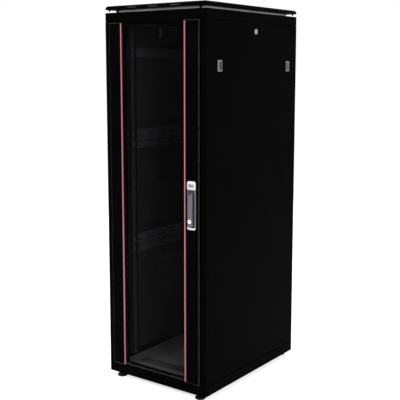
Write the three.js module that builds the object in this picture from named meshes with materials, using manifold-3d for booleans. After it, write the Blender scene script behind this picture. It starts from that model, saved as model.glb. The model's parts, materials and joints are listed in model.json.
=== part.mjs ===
// Free-standing 19-inch network cabinet, 37 units high, with a smoked-glass front door.
// Millimetres, +Z up. The origin is on the floor at the middle of the cabinet, and the front faces -Y.
import * as THREE from "three";
import { mergeVertices } from "three/addons/utils/BufferGeometryUtils.js";
import Module from "manifold-3d";

const wasm = await Module();
wasm.setup();

// ---------------------------------------------------------------- driving dimensions

const WIDTH = 600; // body, across the side panels
const DEPTH = 800; // body, front frame to rear frame
const FOOT_HEIGHT = 25; // air under the plinth
const PLINTH_HEIGHT = 50; // base ring, front face
const OPENING_HEIGHT = 1696; // base ring to top ring: doors, panels and posts fill it
const FASCIA_HEIGHT = 44; // top ring, front face
const DECK_THICKNESS = 1.7; // roof sheet lying on the top ring
const LID_GAP = 14; // air gap under the raised lid
const LID_HEIGHT = 19;
const LID_OVERHANG = 2;
const FIT = 0.3; // air between pieces that touch
const SHEET = 1.2; // doors, panels, roof
const PROFILE = 1.6; // posts, rings, rails, braces
const PAST = 5; // how far a cutting tool runs past the faces it opens

const BASE_TOP = FOOT_HEIGHT + PLINTH_HEIGHT;
const LINTEL = BASE_TOP + OPENING_HEIGHT; // underside of the top ring
const RING_TOP = LINTEL + FASCIA_HEIGHT;
const BODY_TOP = RING_TOP + FIT + DECK_THICKNESS;
const LID_BOTTOM = BODY_TOP + LID_GAP;
const LID_TOP = LID_BOTTOM + LID_HEIGHT;
const HALF_W = WIDTH / 2;
const HALF_D = DEPTH / 2;

// Doors: both leaves and their handle sets share these.
const STILE_FACE = 30; // frame showing beside a door
const DOOR_GAP = 3; // at the sides
const DOOR_END_GAP = 4; // at the top and the bottom
const DOOR_PROUD = 9; // leaf in front of the frame
const DOOR_DEPTH = 24; // leaf, front to back
const DOOR_HALF = HALF_W - STILE_FACE - DOOR_GAP;
const DOOR_BOTTOM = BASE_TOP + DOOR_END_GAP;
const DOOR_TOP = LINTEL - DOOR_END_GAP;
const DOOR_FRONT = -HALF_D - DOOR_PROUD;
const DOOR_BACK = DOOR_FRONT + DOOR_DEPTH;
const HINGE_X = -(DOOR_HALF - 9);
const HINGE_Y = DOOR_FRONT + 7;
const HINGE_PIN_R = 3;
const HINGE_PIN_ENTERS = 12; // pin inside the leaf
const HINGE_HOLE_R = 3.6;
const HINGE_PLATE = 2.2; // thickness
const GLASS_LEFT = -199; // pane between the two steel stiles
const GLASS_RIGHT = 192;
const GLASS_SET_BACK = 2;
const GLASS_THICKNESS = 5;
const LEDGE = 19; // steel behind each long edge of the pane
const DOOR_RAIL_HEIGHT = 14; // steel behind the top and the bottom edge
const STRIP_WIDTH = 11; // coloured strip over each long edge
const STRIP_PROUD = 1;
const END_INSET = 1; // closing plates inside the folded stile
const VENT = { fields: [250, 1380], rows: 12, pitch: 18, height: 6, left: -170, right: 130 }; // rear door

// Swing handle
const HANDLE_X = 229;
const HOUSING_BOTTOM = 821;
const HOUSING_TOP = 1045;
const HOUSING_WIDTH = 44;
const HOUSING_THICKNESS = 8;
const HOUSING_CORNER = 9;
const HOUSING_RIM = 3.5; // width of the raised rim
const HOUSING_RECESS = 3.5; // depth inside the rim
const PLATE_HEIGHT = 38; // plain label plate at the top of the housing
const PLATE_INSET = 1.5;
const SPINDLE_Z = 980;
const SPINDLE_R = 10;
const SPINDLE_NECK_R = 5; // carries the cam
const SPINDLE_EYE_R = 4; // holds the cross pin
const CROSS_PIN_R = 2;
const CROSS_PIN_HALF = 11.5;
const LEVER_WIDTH = 26;
const LEVER_THICKNESS = 12;
const LEVER_BOTTOM = 833;
const LEVER_CHAMFER = 5;
const LEVER_CORNER = 8;
const LEVER_CLEAR = 1; // lever in front of the housing rim
const KEY_Z = 861;
const KEY_R = 10;
const KEY_PROUD = 1.5;
const KEYWAY = { half: 1, depth: 4, reach: 4 };
const CAM_REACH = 35;
const CAM_HUB_R = 11;
const CAM_HALF = 9;
const CAM_THICKNESS = 3;

// 19-inch rails
const UNIT = 44.45;
const UNITS = 37;
const HOLE = 9.5; // square cage-nut hole
const HOLE_HEIGHTS = [6.35, 22.225, 38.1]; // centres above the bottom of each unit
const HOLE_X = 465.1 / 2;
const UNITS_BOTTOM = 99;
const RAIL_END = 4; // rail beyond the first and the last unit
const RAIL_INNER = 225; // half of the 450 mm bay
const RAIL_OUTER = 268;
const RAIL_FACE = 280; // rail face from the middle of the cabinet
const RAIL_RETURN = 50;
const RAIL_LIP = 15;

// Depth braces between the front and the rear posts, from the lowest up
const BRACES = [
  { name: "lower", bottom: 612, height: 92, slotted: true },
  { name: "middle", bottom: 1153, height: 95, slotted: true },
  { name: "upper", bottom: 1607, height: 50, slotted: false },
];
const BRACE_OUTER = 280.5;
const BRACE_FLANGE = 11.5;
const BRACE_HALF_LENGTH = 365;
const BRACE_SLOT = { rows: [0.3, 0.62], each: 3, pitch: 98, half: 32, height: 8 };

// Posts: a folded section, seen from above, measured inwards from the body's corner
const POST_STOP = 28; // door stop behind the frame face
const POST_INNER = 48;
const POST_LENGTH = 70;
const POST_RECESS = 17; // room for the side panel
const RING_FLANGE = 60; // lips of the rings, turned inwards
const BASE_LIP = [76, 62]; // lower lip of the base ring at the sides and at the ends

// Side panels
const PANEL_CENTRE_Y = 8;
const PANEL_LENGTH = 760;
const PANEL_RETURN = 15;
const PANEL_GAP = 2; // to the step of the posts
const PANEL_BOTTOM = DOOR_BOTTOM;
const PANEL_TOP = DOOR_TOP;
const LATCH_OFFSET = 303; // from the middle of the panel
const LATCH_Z = 1565;
const LATCH_WIDTH = 34;
const LATCH_HEIGHT = 52;
const LATCH_CORNER = 3;
const LATCH_OPENING = { y: 11.5, z: 17 }; // half sizes of the hole behind the bezel
const SLIDER_PLAY = 0.7; // between the thumb piece and the outer end of the hole
const THUMB = { width: 13, half: 16, inner: 5, proud: 0.8 }; // depths from the outside of the panel
const TONGUE = { reach: 14, half: 11, inner: 7, outer: 3 };
const PANEL_LOCK_Z = 1728;
const PANEL_LOCK_R = 11;
const LOCK_FLANGE = 2;
const LOCK_DEPTH = 14;
const LOCK_CAM = { inner: 13, outer: 10, half: 8, reach: 33 };
const LOCK_SLOT = { half: 1.2, reach: 5, depth: 1 };

// Floor, roof and feet
const FLOOR_X = 249;
const FLOOR_Y = 371;
const FLOOR_CUTOUTS = [{ from: 200, to: 320 }, { from: -320, to: -250 }];
const FLOOR_CUTOUT_HALF = 175;
const DECK_CUTOUT = { half: 150, from: 215, to: 315 };
const DECK_SLOTS = { rows: 9, from: -230, pitch: 40, width: 8, centre: 115, half: 75 };
const SPACER_X = 248;
const SPACER_Y = 370;
const SPACER_R = 7;
const LID_BEVEL = 6;
const LID_CORNER = 10; // inside the bevel
const LID_MOUTH = 150; // lower sheet of the lid, from its edge inwards
const FOOT_X = 246;
const FOOT_Y = 370;
const PAD_R = 25;
const PAD_HEIGHT = 7;
const PAD_SHOULDER = 4;
const HEX_R = 9;
const HEX_TOP = 20;
const STUD_R = 6;
const STUD_TOP = 60;
const STUD_HOLE_R = 7;

const MATERIALS = {
  blackSteel: new THREE.MeshStandardMaterial({ color: 0x0b0b0c, roughness: 0.5, metalness: 0.2 }),
  zincSteel: new THREE.MeshStandardMaterial({ color: 0x8a8f96, roughness: 0.4, metalness: 0.9 }),
  smokedGlass: new THREE.MeshStandardMaterial({
    color: 0x1a1a1c, roughness: 0.05, transparent: true, opacity: 0.4,
  }),
  redTrim: new THREE.MeshStandardMaterial({ color: 0xb0505c, roughness: 0.3 }),
  handleGrey: new THREE.MeshStandardMaterial({ color: 0x67626d, roughness: 0.4, metalness: 0.5 }),
  housingGrey: new THREE.MeshStandardMaterial({ color: 0x76737c, roughness: 0.5 }),
  whitePlate: new THREE.MeshStandardMaterial({ color: 0xc8bebe, roughness: 0.5 }),
  brightMetal: new THREE.MeshStandardMaterial({ color: 0xd9dde0, roughness: 0.2, metalness: 1 }),
  latchGrey: new THREE.MeshStandardMaterial({ color: 0x8e8e8e, roughness: 0.5 }),
  blackPlastic: new THREE.MeshStandardMaterial({ color: 0x121212, roughness: 0.6 }),
};

// ---------------------------------------------------------------- solids

// A closed three.js geometry as a manifold-3d solid.
function solid(geometry) {
  const bare = geometry.index ? geometry.toNonIndexed() : geometry.clone();
  bare.deleteAttribute("normal");
  bare.deleteAttribute("uv");
  const merged = mergeVertices(bare, 1e-4);
  return new wasm.Manifold(
    new wasm.Mesh({
      numProp: 3,
      vertProperties: merged.attributes.position.array,
      triVerts: new Uint32Array(merged.index.array),
    }),
  );
}

function geometryOf(shape) {
  const mesh = shape.getMesh();
  const geometry = new THREE.BufferGeometry();
  geometry.setAttribute("position", new THREE.BufferAttribute(new Float32Array(mesh.vertProperties), 3));
  geometry.setIndex(new THREE.BufferAttribute(new Uint32Array(mesh.triVerts), 1));
  geometry.computeVertexNormals();
  return geometry;
}

const inOrder = (a, b) => [Math.min(a, b), Math.max(a, b)];
const join = (...shapes) => shapes.reduce((whole, shape) => whole.add(shape));
const cut = (body, ...tools) => tools.reduce((left, tool) => left.subtract(tool), body);

function box(x0, x1, y0, y1, z0, z1) {
  const geometry = new THREE.BoxGeometry(x1 - x0, y1 - y0, z1 - z0);
  return solid(geometry.translate((x0 + x1) / 2, (y0 + y1) / 2, (z0 + z1) / 2));
}

// A cylinder between two stations along one axis; "at" holds the two other coordinates in X, Y, Z order.
function cylinder(axis, at, from, to, radius, sides = 24) {
  const geometry = new THREE.CylinderGeometry(radius, radius, to - from, sides);
  const middle = (from + to) / 2;
  if (axis === "x") return solid(geometry.rotateZ(Math.PI / 2).translate(middle, at[0], at[1]));
  if (axis === "y") return solid(geometry.translate(at[0], middle, at[1]));
  return solid(geometry.rotateX(Math.PI / 2).translate(at[0], at[1], middle));
}

function extruded(shape, depth, curveSegments = 5) {
  return new THREE.ExtrudeGeometry(shape, { depth, bevelEnabled: false, curveSegments });
}

// A shape drawn on X and Y, raised from z0 to z1.
function upright(shape, z0, z1) {
  return solid(extruded(shape, z1 - z0).translate(0, 0, z0));
}

// A shape drawn on X and Z, carried from y0 to y1.
function facing(shape, y0, y1) {
  return solid(extruded(shape, y1 - y0).rotateX(Math.PI / 2).translate(0, y1, 0));
}

// A shape drawn on Y and Z, carried from x0 to x1.
function sideways(shape, x0, x1) {
  const turn = new THREE.Matrix4().makeBasis(
    new THREE.Vector3(0, 1, 0),
    new THREE.Vector3(0, 0, 1),
    new THREE.Vector3(1, 0, 0),
  );
  return solid(extruded(shape, x1 - x0).applyMatrix4(turn).translate(x0, 0, 0));
}

function roundedRect(x0, x1, y0, y1, radius) {
  const shape = new THREE.Shape();
  shape.absarc(x1 - radius, y1 - radius, radius, 0, Math.PI / 2);
  shape.absarc(x0 + radius, y1 - radius, radius, Math.PI / 2, Math.PI);
  shape.absarc(x0 + radius, y0 + radius, radius, Math.PI, 1.5 * Math.PI);
  shape.absarc(x1 - radius, y0 + radius, radius, 1.5 * Math.PI, 2 * Math.PI);
  shape.closePath();
  return shape;
}

// The outline of a sheet folded along a line of points, its thickness laid to the left of the line.
function foldedSheet(points, thickness, place = (u, v) => [u, v]) {
  const left = points.map(([x, y], i) => {
    const sides = [];
    if (i > 0) sides.push([x - points[i - 1][0], y - points[i - 1][1]]);
    if (i < points.length - 1) sides.push([points[i + 1][0] - x, points[i + 1][1] - y]);
    const normals = sides.map(([dx, dy]) => [-dy / Math.hypot(dx, dy), dx / Math.hypot(dx, dy)]);
    const sum = normals.reduce((a, b) => [a[0] + b[0], a[1] + b[1]]);
    const scale = (thickness * normals.length) / (sum[0] ** 2 + sum[1] ** 2);
    return [x + sum[0] * scale, y + sum[1] * scale];
  });
  const outline = [...points, ...left.reverse()].map(([u, v]) => place(u, v));
  return new THREE.Shape(outline.map(([x, y]) => new THREE.Vector2(x, y)));
}

// A hollow ring as large as the body, its upper and lower walls cut back to flanges turned inwards.
// Each flange is the pair of its widths, at the sides and at the ends.
function ring(z0, z1, wall, topFlange, bottomFlange) {
  const whole = box(-HALF_W, HALF_W, -HALF_D, HALF_D, z0, z1);
  const inside = box(
    -HALF_W + wall, HALF_W - wall, -HALF_D + wall, HALF_D - wall, z0 + wall, z1 - wall,
  );
  const mouth = (flange, low, high) =>
    box(-HALF_W + flange[0], HALF_W - flange[0], -HALF_D + flange[1], HALF_D - flange[1], low, high);
  return cut(
    whole, inside,
    mouth(topFlange, z1 - 2 * wall, z1 + PAST),
    mouth(bottomFlange, z0 - PAST, z0 + 2 * wall),
  );
}

// ---------------------------------------------------------------- scene

const cabinet = new THREE.Group();

function add(group, name, material, shape) {
  const mesh = new THREE.Mesh(geometryOf(shape), MATERIALS[material]);
  mesh.name = name;
  group.add(mesh);
}

const CORNERS = [
  { name: "front_left", x: -1, y: -1 },
  { name: "front_right", x: 1, y: -1 },
  { name: "rear_left", x: -1, y: 1 },
  { name: "rear_right", x: 1, y: 1 },
];

// Frame: a ring below and a ring above, with four folded posts between them.
function buildFrame(group) {
  const studHoles = CORNERS.map((corner) =>
    cylinder(
      "z", [corner.x * FOOT_X, corner.y * FOOT_Y], FOOT_HEIGHT - PAST, FOOT_HEIGHT + PAST, STUD_HOLE_R, 16,
    ),
  );
  const lip = [RING_FLANGE, RING_FLANGE];
  const base = ring(FOOT_HEIGHT, BASE_TOP, PROFILE, lip, BASE_LIP);
  add(group, "base_frame", "blackSteel", cut(base, ...studHoles));
  add(group, "top_frame", "blackSteel", ring(LINTEL, RING_TOP, PROFILE, lip, lip));

  for (const corner of CORNERS) {
    const panelEdge = PANEL_CENTRE_Y + (corner.y * PANEL_LENGTH) / 2;
    const step = HALF_D - corner.y * panelEdge - PANEL_GAP; // frame showing beside the side panel
    const section = [
      [POST_RECESS, POST_LENGTH],
      [POST_RECESS, step],
      [0, step],
      [0, 0],
      [STILE_FACE, 0],
      [STILE_FACE, POST_STOP],
      [POST_INNER, POST_STOP],
      [POST_INNER, POST_LENGTH],
    ];
    const place = (u, v) => [corner.x * (HALF_W - u), corner.y * (HALF_D - v)];
    const post = upright(foldedSheet(section, PROFILE, place), BASE_TOP + FIT, LINTEL - FIT);
    add(group, `post_${corner.name}`, "blackSteel", post);
  }
}

function buildFloorAndRoof(group) {
  const throughFloor = (x0, x1, y0, y1) => box(x0, x1, y0, y1, BASE_TOP - PAST, BASE_TOP + PAST);
  const cutouts = FLOOR_CUTOUTS.map((hole) =>
    throughFloor(-FLOOR_CUTOUT_HALF, FLOOR_CUTOUT_HALF, hole.from, hole.to),
  );
  const floor = box(-FLOOR_X, FLOOR_X, -FLOOR_Y, FLOOR_Y, BASE_TOP + FIT, BASE_TOP + FIT + SHEET);
  add(group, "floor_plate", "zincSteel", cut(floor, ...cutouts));

  const throughDeck = (x0, x1, y0, y1) => box(x0, x1, y0, y1, RING_TOP - PAST, BODY_TOP + PAST);
  const slots = [];
  for (const side of [-1, 1])
    for (let row = 0; row < DECK_SLOTS.rows; row++) {
      const x = side * DECK_SLOTS.centre;
      const y = DECK_SLOTS.from + row * DECK_SLOTS.pitch;
      slots.push(throughDeck(x - DECK_SLOTS.half, x + DECK_SLOTS.half, y, y + DECK_SLOTS.width));
    }
  const deck = cut(
    box(-HALF_W, HALF_W, -HALF_D, HALF_D, RING_TOP + FIT, BODY_TOP),
    throughDeck(-DECK_CUTOUT.half, DECK_CUTOUT.half, DECK_CUTOUT.from, DECK_CUTOUT.to),
    ...slots,
  );
  add(group, "roof_deck", "blackSteel", deck);

  for (const corner of CORNERS) {
    const at = [corner.x * SPACER_X, corner.y * SPACER_Y];
    const spacer = cylinder("z", at, BODY_TOP + FIT, LID_BOTTOM - FIT, SPACER_R, 16);
    add(group, `lid_spacer_${corner.name}`, "blackPlastic", spacer);
  }
  add(group, "roof_lid", "blackSteel", lid());
}

// Lid: a shallow closed tray with rounded corners and a bevelled top edge, open in the middle below.
function lid() {
  const halfW = HALF_W + LID_OVERHANG;
  const halfD = HALF_D + LID_OVERHANG;
  const inner = roundedRect(
    -halfW + LID_BEVEL, halfW - LID_BEVEL, -halfD + LID_BEVEL, halfD - LID_BEVEL, LID_CORNER,
  );
  const bevelled = new THREE.ExtrudeGeometry(inner, {
    depth: LID_HEIGHT - LID_BEVEL,
    bevelThickness: LID_BEVEL,
    bevelSize: LID_BEVEL,
    bevelSegments: 3,
    curveSegments: 5,
  }).translate(0, 0, LID_BOTTOM);
  const below = box(-WIDTH, WIDTH, -DEPTH, DEPTH, LID_BOTTOM - LID_HEIGHT, LID_BOTTOM);
  const hollow = (inset, low, high) =>
    box(-halfW + inset, halfW - inset, -halfD + inset, halfD - inset, low, high);
  const wall = SHEET + LID_CORNER * (1 - Math.SQRT1_2); // leaves the sheet whole at the round corners
  return cut(
    solid(bevelled), below,
    hollow(wall, LID_BOTTOM + SHEET, LID_TOP - LID_BEVEL),
    hollow(LID_BEVEL + wall, LID_BOTTOM + SHEET, LID_TOP - SHEET),
    hollow(LID_MOUTH, LID_BOTTOM - PAST, LID_BOTTOM + PAST),
  );
}

// 19-inch rails: a face with a square hole at every cage-nut place, folded back along the outer edge.
function buildRails(group) {
  const bottom = UNITS_BOTTOM - RAIL_END;
  const top = UNITS_BOTTOM + UNITS * UNIT + RAIL_END;
  for (const corner of CORNERS) {
    const place = (u, v) => [corner.x * u, corner.y * v];
    const section = [
      [RAIL_INNER, RAIL_FACE],
      [RAIL_OUTER, RAIL_FACE],
      [RAIL_OUTER, RAIL_FACE - RAIL_RETURN],
      [RAIL_OUTER - RAIL_LIP, RAIL_FACE - RAIL_RETURN],
    ];
    const inwards = foldedSheet([...section].reverse(), PROFILE, place);
    const holes = [];
    for (let unit = 0; unit < UNITS; unit++)
      for (const height of HOLE_HEIGHTS) {
        const z = UNITS_BOTTOM + unit * UNIT + height - HOLE / 2;
        const x = corner.x * HOLE_X - HOLE / 2;
        const y = corner.y * RAIL_FACE;
        holes.push(box(x, x + HOLE, y - PAST, y + PAST, z, z + HOLE));
      }
    const rail = upright(inwards, bottom, top);
    add(group, `rail_${corner.name}`, "zincSteel", rail.subtract(wasm.Manifold.union(holes)));
  }
}

// Depth braces: channels along each side that carry the rails, with adjusting slots in the taller ones.
function buildBraces(group) {
  for (const [side, sideName] of [[-1, "left"], [1, "right"]])
    for (const brace of BRACES) {
      const top = brace.bottom + brace.height;
      const section = [
        [BRACE_OUTER - BRACE_FLANGE, top],
        [BRACE_OUTER, top],
        [BRACE_OUTER, brace.bottom],
        [BRACE_OUTER - BRACE_FLANGE, brace.bottom],
      ];
      const place = (u, v) => [side * u, v];
      const shape = foldedSheet([...section].reverse(), PROFILE, place);
      const channel = facing(shape, -BRACE_HALF_LENGTH, BRACE_HALF_LENGTH);
      const slots = [];
      const x = side * BRACE_OUTER;
      for (const share of brace.slotted ? BRACE_SLOT.rows : [])
        for (let i = -BRACE_SLOT.each; i <= BRACE_SLOT.each; i++) {
          const y = i * BRACE_SLOT.pitch;
          const z = brace.bottom + brace.height * share;
          slots.push(
            box(x - PAST, x + PAST, y - BRACE_SLOT.half, y + BRACE_SLOT.half, z, z + BRACE_SLOT.height),
          );
        }
      add(group, `brace_${sideName}_${brace.name}`, "zincSteel", cut(channel, ...slots));
    }
}

// Levelling foot: a round pad, a hexagon and a threaded stud that passes the base ring.
function buildFeet(group) {
  const profile = [
    [0, 0],
    [PAD_R, 0],
    [PAD_R, PAD_HEIGHT],
    [PAD_R - PAD_SHOULDER, PAD_HEIGHT + PAD_SHOULDER],
    [HEX_R, PAD_HEIGHT + PAD_SHOULDER + 1],
    [HEX_R, HEX_TOP],
    [STUD_R, HEX_TOP],
    [STUD_R, STUD_TOP],
    [0, STUD_TOP],
  ];
  for (const corner of CORNERS) {
    const lathe = new THREE.LatheGeometry(profile.map(([r, z]) => new THREE.Vector2(r, z)), 18);
    const foot = solid(lathe.rotateX(Math.PI / 2).translate(corner.x * FOOT_X, corner.y * FOOT_Y, 0));
    add(group, `foot_${corner.name}`, "blackPlastic", foot);
  }
}

// ---------------------------------------------------------------- doors

// One pivot: a plate fixed to the frame, and a pin that enters the end of the door.
function hinge(upper) {
  const frameEdge = upper ? LINTEL : BASE_TOP;
  const into = upper ? -1 : 1;
  const from = frameEdge + into * FIT;
  const plate = inOrder(from, from + into * HINGE_PLATE);
  const pin = inOrder(from, frameEdge + into * (DOOR_END_GAP + HINGE_PIN_ENTERS));
  return join(
    box(-DOOR_HALF - 1, HINGE_X + 10, HINGE_Y - 5, HINGE_Y + 16, ...plate),
    cylinder("z", [HINGE_X, HINGE_Y], ...pin, HINGE_PIN_R, 16),
  );
}

function pinHoles() {
  return [DOOR_BOTTOM, DOOR_TOP].map((z) =>
    cylinder("z", [HINGE_X, HINGE_Y], z - PAST, z + PAST, HINGE_HOLE_R, 16),
  );
}

function spindleHole() {
  return cylinder("y", [HANDLE_X, SPINDLE_Z], DOOR_FRONT - PAST, DOOR_FRONT + PAST, SPINDLE_R + 2);
}

// Glass door: two folded stiles with a ledge for the pane, closed by a low rail at the top and the bottom.
function glassDoorFrame() {
  const ledgeY = DOOR_FRONT + GLASS_SET_BACK + GLASS_THICKNESS + FIT;
  const stile = (outer, edge) => {
    const inner = edge - Math.sign(edge) * LEDGE;
    const points = [
      [outer, DOOR_BACK], [outer, DOOR_FRONT], [edge, DOOR_FRONT],
      [edge, ledgeY], [inner, ledgeY], [inner, DOOR_BACK],
    ];
    const section = foldedSheet(outer < 0 ? points : points.reverse(), SHEET);
    const [left, right] = inOrder(outer, edge);
    const ends = [DOOR_BOTTOM, DOOR_TOP - SHEET].map((z) =>
      box(left + END_INSET, right - END_INSET, DOOR_FRONT + END_INSET, DOOR_BACK - END_INSET, z, z + SHEET),
    );
    return join(upright(section, DOOR_BOTTOM, DOOR_TOP), ...ends);
  };
  const rail = (z0) =>
    box(GLASS_LEFT + LEDGE - 1, GLASS_RIGHT - LEDGE + 1, ledgeY, DOOR_BACK, z0, z0 + DOOR_RAIL_HEIGHT);
  const railHollow = (z0) =>
    box(
      GLASS_LEFT + LEDGE, GLASS_RIGHT - LEDGE, ledgeY + SHEET, DOOR_BACK + 1,
      z0 + SHEET, z0 + DOOR_RAIL_HEIGHT - SHEET,
    );
  const upperRail = DOOR_TOP - DOOR_RAIL_HEIGHT;
  const frame = join(
    stile(-DOOR_HALF, GLASS_LEFT - FIT), stile(DOOR_HALF, GLASS_RIGHT + FIT),
    rail(DOOR_BOTTOM), rail(upperRail),
  );
  return cut(frame, railHollow(DOOR_BOTTOM), railHollow(upperRail), spindleHole(), ...pinHoles());
}

// Rear door: a folded steel tray with two fields of ventilation slots.
function steelDoor() {
  const tray = cut(
    box(-DOOR_HALF, DOOR_HALF, DOOR_FRONT, DOOR_BACK, DOOR_BOTTOM, DOOR_TOP),
    box(
      -DOOR_HALF + SHEET, DOOR_HALF - SHEET, DOOR_FRONT + SHEET, DOOR_BACK + 1,
      DOOR_BOTTOM + SHEET, DOOR_TOP - SHEET,
    ),
  );
  const slots = [];
  for (const field of VENT.fields)
    for (let row = 0; row < VENT.rows; row++) {
      const z = field + row * VENT.pitch;
      slots.push(box(VENT.left, VENT.right, DOOR_FRONT - PAST, DOOR_FRONT + PAST, z, z + VENT.height));
    }
  return cut(tray, spindleHole(), ...pinHoles(), ...slots);
}

function buildHandle(group, prefix) {
  const seat = DOOR_FRONT - FIT; // back of the housing
  const face = seat - HOUSING_THICKNESS; // front of its rim
  const leverBack = face - LEVER_CLEAR;
  const leverFront = leverBack - LEVER_THICKNESS;
  const pivotY = leverBack - LEVER_THICKNESS / 2;
  const x0 = HANDLE_X - HOUSING_WIDTH / 2;
  const x1 = HANDLE_X + HOUSING_WIDTH / 2;
  const recessTop = HOUSING_TOP - PLATE_HEIGHT - HOUSING_RIM;

  const housing = cut(
    facing(roundedRect(x0, x1, HOUSING_BOTTOM, HOUSING_TOP, HOUSING_CORNER), face, seat),
    facing(
      roundedRect(
        x0 + HOUSING_RIM, x1 - HOUSING_RIM,
        HOUSING_BOTTOM + HOUSING_RIM, recessTop, HOUSING_CORNER - HOUSING_RIM,
      ),
      face - PAST, face + HOUSING_RECESS,
    ),
    cylinder("y", [HANDLE_X, SPINDLE_Z], face - PAST, seat + PAST, SPINDLE_R + 2 * FIT),
  );
  add(group, `${prefix}_handle_housing`, "housingGrey", housing);

  const plate = facing(
    roundedRect(
      x0 + PLATE_INSET, x1 - PLATE_INSET,
      HOUSING_TOP - PLATE_HEIGHT, HOUSING_TOP - PLATE_INSET, HOUSING_CORNER - PLATE_INSET,
    ),
    face - FIT - 1, face - FIT,
  );
  add(group, `${prefix}_handle_plate`, "whitePlate", plate);
  add(group, `${prefix}_handle_spindle`, "brightMetal", handleSpindle(face, pivotY));
  add(group, `${prefix}_lock_cam`, "zincSteel", lockCam());
  add(group, `${prefix}_handle_lever`, "handleGrey", handleLever(leverFront, leverBack, pivotY));

  const key = cut(
    cylinder("y", [HANDLE_X, KEY_Z], leverFront - KEY_PROUD, leverBack, KEY_R),
    box(
      HANDLE_X - KEYWAY.half, HANDLE_X + KEYWAY.half,
      leverFront - PAST, leverFront + KEYWAY.depth, KEY_Z - KEYWAY.reach, KEY_Z + KEYWAY.reach,
    ),
  );
  add(group, `${prefix}_key_barrel`, "brightMetal", key);
}

// Spindle: a round hub through the door, with an eye that the lever's cross pin passes.
function handleSpindle(face, pivotY) {
  const hubFront = face + 0.5;
  return join(
    cylinder("y", [HANDLE_X, SPINDLE_Z], hubFront, DOOR_BACK - 1, SPINDLE_R),
    cylinder("y", [HANDLE_X, SPINDLE_Z], DOOR_BACK - 2, DOOR_BACK + 2 * CAM_THICKNESS, SPINDLE_NECK_R, 16),
    cylinder(
      "x", [pivotY, SPINDLE_Z], HANDLE_X - SPINDLE_EYE_R, HANDLE_X + SPINDLE_EYE_R, SPINDLE_EYE_R, 16,
    ),
    box(
      HANDLE_X - SPINDLE_EYE_R, HANDLE_X + SPINDLE_EYE_R,
      pivotY, hubFront + 1, SPINDLE_Z - SPINDLE_EYE_R, SPINDLE_Z + SPINDLE_EYE_R,
    ),
    cylinder(
      "x", [pivotY, SPINDLE_Z], HANDLE_X - CROSS_PIN_HALF, HANDLE_X + CROSS_PIN_HALF, CROSS_PIN_R, 12,
    ),
  );
}

// Cam behind the door: a flat arm that reaches behind the door stop of the post.
function lockCam() {
  const front = DOOR_BACK + 0.5;
  const back = front + CAM_THICKNESS;
  return cut(
    join(
      cylinder("y", [HANDLE_X, SPINDLE_Z], front, back, CAM_HUB_R),
      box(HANDLE_X, HANDLE_X + CAM_REACH, front, back, SPINDLE_Z - CAM_HALF, SPINDLE_Z + CAM_HALF),
    ),
    cylinder("y", [HANDLE_X, SPINDLE_Z], front - PAST, back + PAST, SPINDLE_NECK_R + 0.5, 16),
  );
}

// Lever: a bar with a half-round top end on the cross pin and a wide slot for the eye.
function handleLever(leverFront, leverBack, pivotY) {
  const half = LEVER_THICKNESS / 2;
  const left = HANDLE_X - LEVER_WIDTH / 2;
  const right = HANDLE_X + LEVER_WIDTH / 2;
  const profile = new THREE.Shape();
  profile.absarc(pivotY, SPINDLE_Z, half, 0, Math.PI);
  profile.lineTo(leverFront, LEVER_BOTTOM + LEVER_CHAMFER);
  profile.lineTo(leverFront + LEVER_CHAMFER, LEVER_BOTTOM);
  profile.lineTo(leverBack, LEVER_BOTTOM);
  profile.closePath();
  const outline = roundedRect(left, right, LEVER_BOTTOM, SPINDLE_Z + LEVER_THICKNESS, LEVER_CORNER);
  const bar = sideways(profile, left, right).intersect(facing(outline, leverFront - 1, leverBack + 1));
  const room = SPINDLE_EYE_R + 2 * FIT;
  return cut(
    bar,
    box(
      HANDLE_X - room, HANDLE_X + room,
      pivotY - room, leverBack + PAST, SPINDLE_Z - SPINDLE_EYE_R - 1, SPINDLE_Z + LEVER_THICKNESS,
    ),
    cylinder("x", [pivotY, SPINDLE_Z], left - PAST, right + PAST, CROSS_PIN_R + 2 * FIT, 12),
    cylinder("y", [HANDLE_X, KEY_Z], leverFront - PAST, leverBack + PAST, KEY_R + 0.5),
  );
}

function buildFrontDoor(group) {
  add(group, "front_door_frame", "blackSteel", glassDoorFrame());
  const glassFront = DOOR_FRONT + GLASS_SET_BACK;
  const pane = box(
    GLASS_LEFT, GLASS_RIGHT, glassFront, glassFront + GLASS_THICKNESS, DOOR_BOTTOM, DOOR_TOP,
  );
  add(group, "front_door_glass", "smokedGlass", pane);
  const strip = (x) =>
    box(x, x + STRIP_WIDTH, DOOR_FRONT - STRIP_PROUD, glassFront - FIT, DOOR_BOTTOM + 1, DOOR_TOP - 1);
  add(group, "front_door_strip_left", "redTrim", strip(GLASS_LEFT));
  add(group, "front_door_strip_right", "redTrim", strip(GLASS_RIGHT - STRIP_WIDTH));
  buildHandle(group, "front");
}

function buildDoors(group) {
  const front = new THREE.Group();
  const rear = new THREE.Group();
  rear.rotation.z = Math.PI; // the rear leaf is hung the same way, seen from behind
  group.add(front, rear);
  buildFrontDoor(front);
  add(rear, "rear_door_panel", "blackSteel", steelDoor());
  buildHandle(rear, "rear");
  for (const [half, prefix] of [[front, "front"], [rear, "rear"]]) {
    add(half, `${prefix}_hinge_upper`, "blackSteel", hinge(true));
    add(half, `${prefix}_hinge_lower`, "blackSteel", hinge(false));
  }
}

// ---------------------------------------------------------------- side panels

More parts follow.
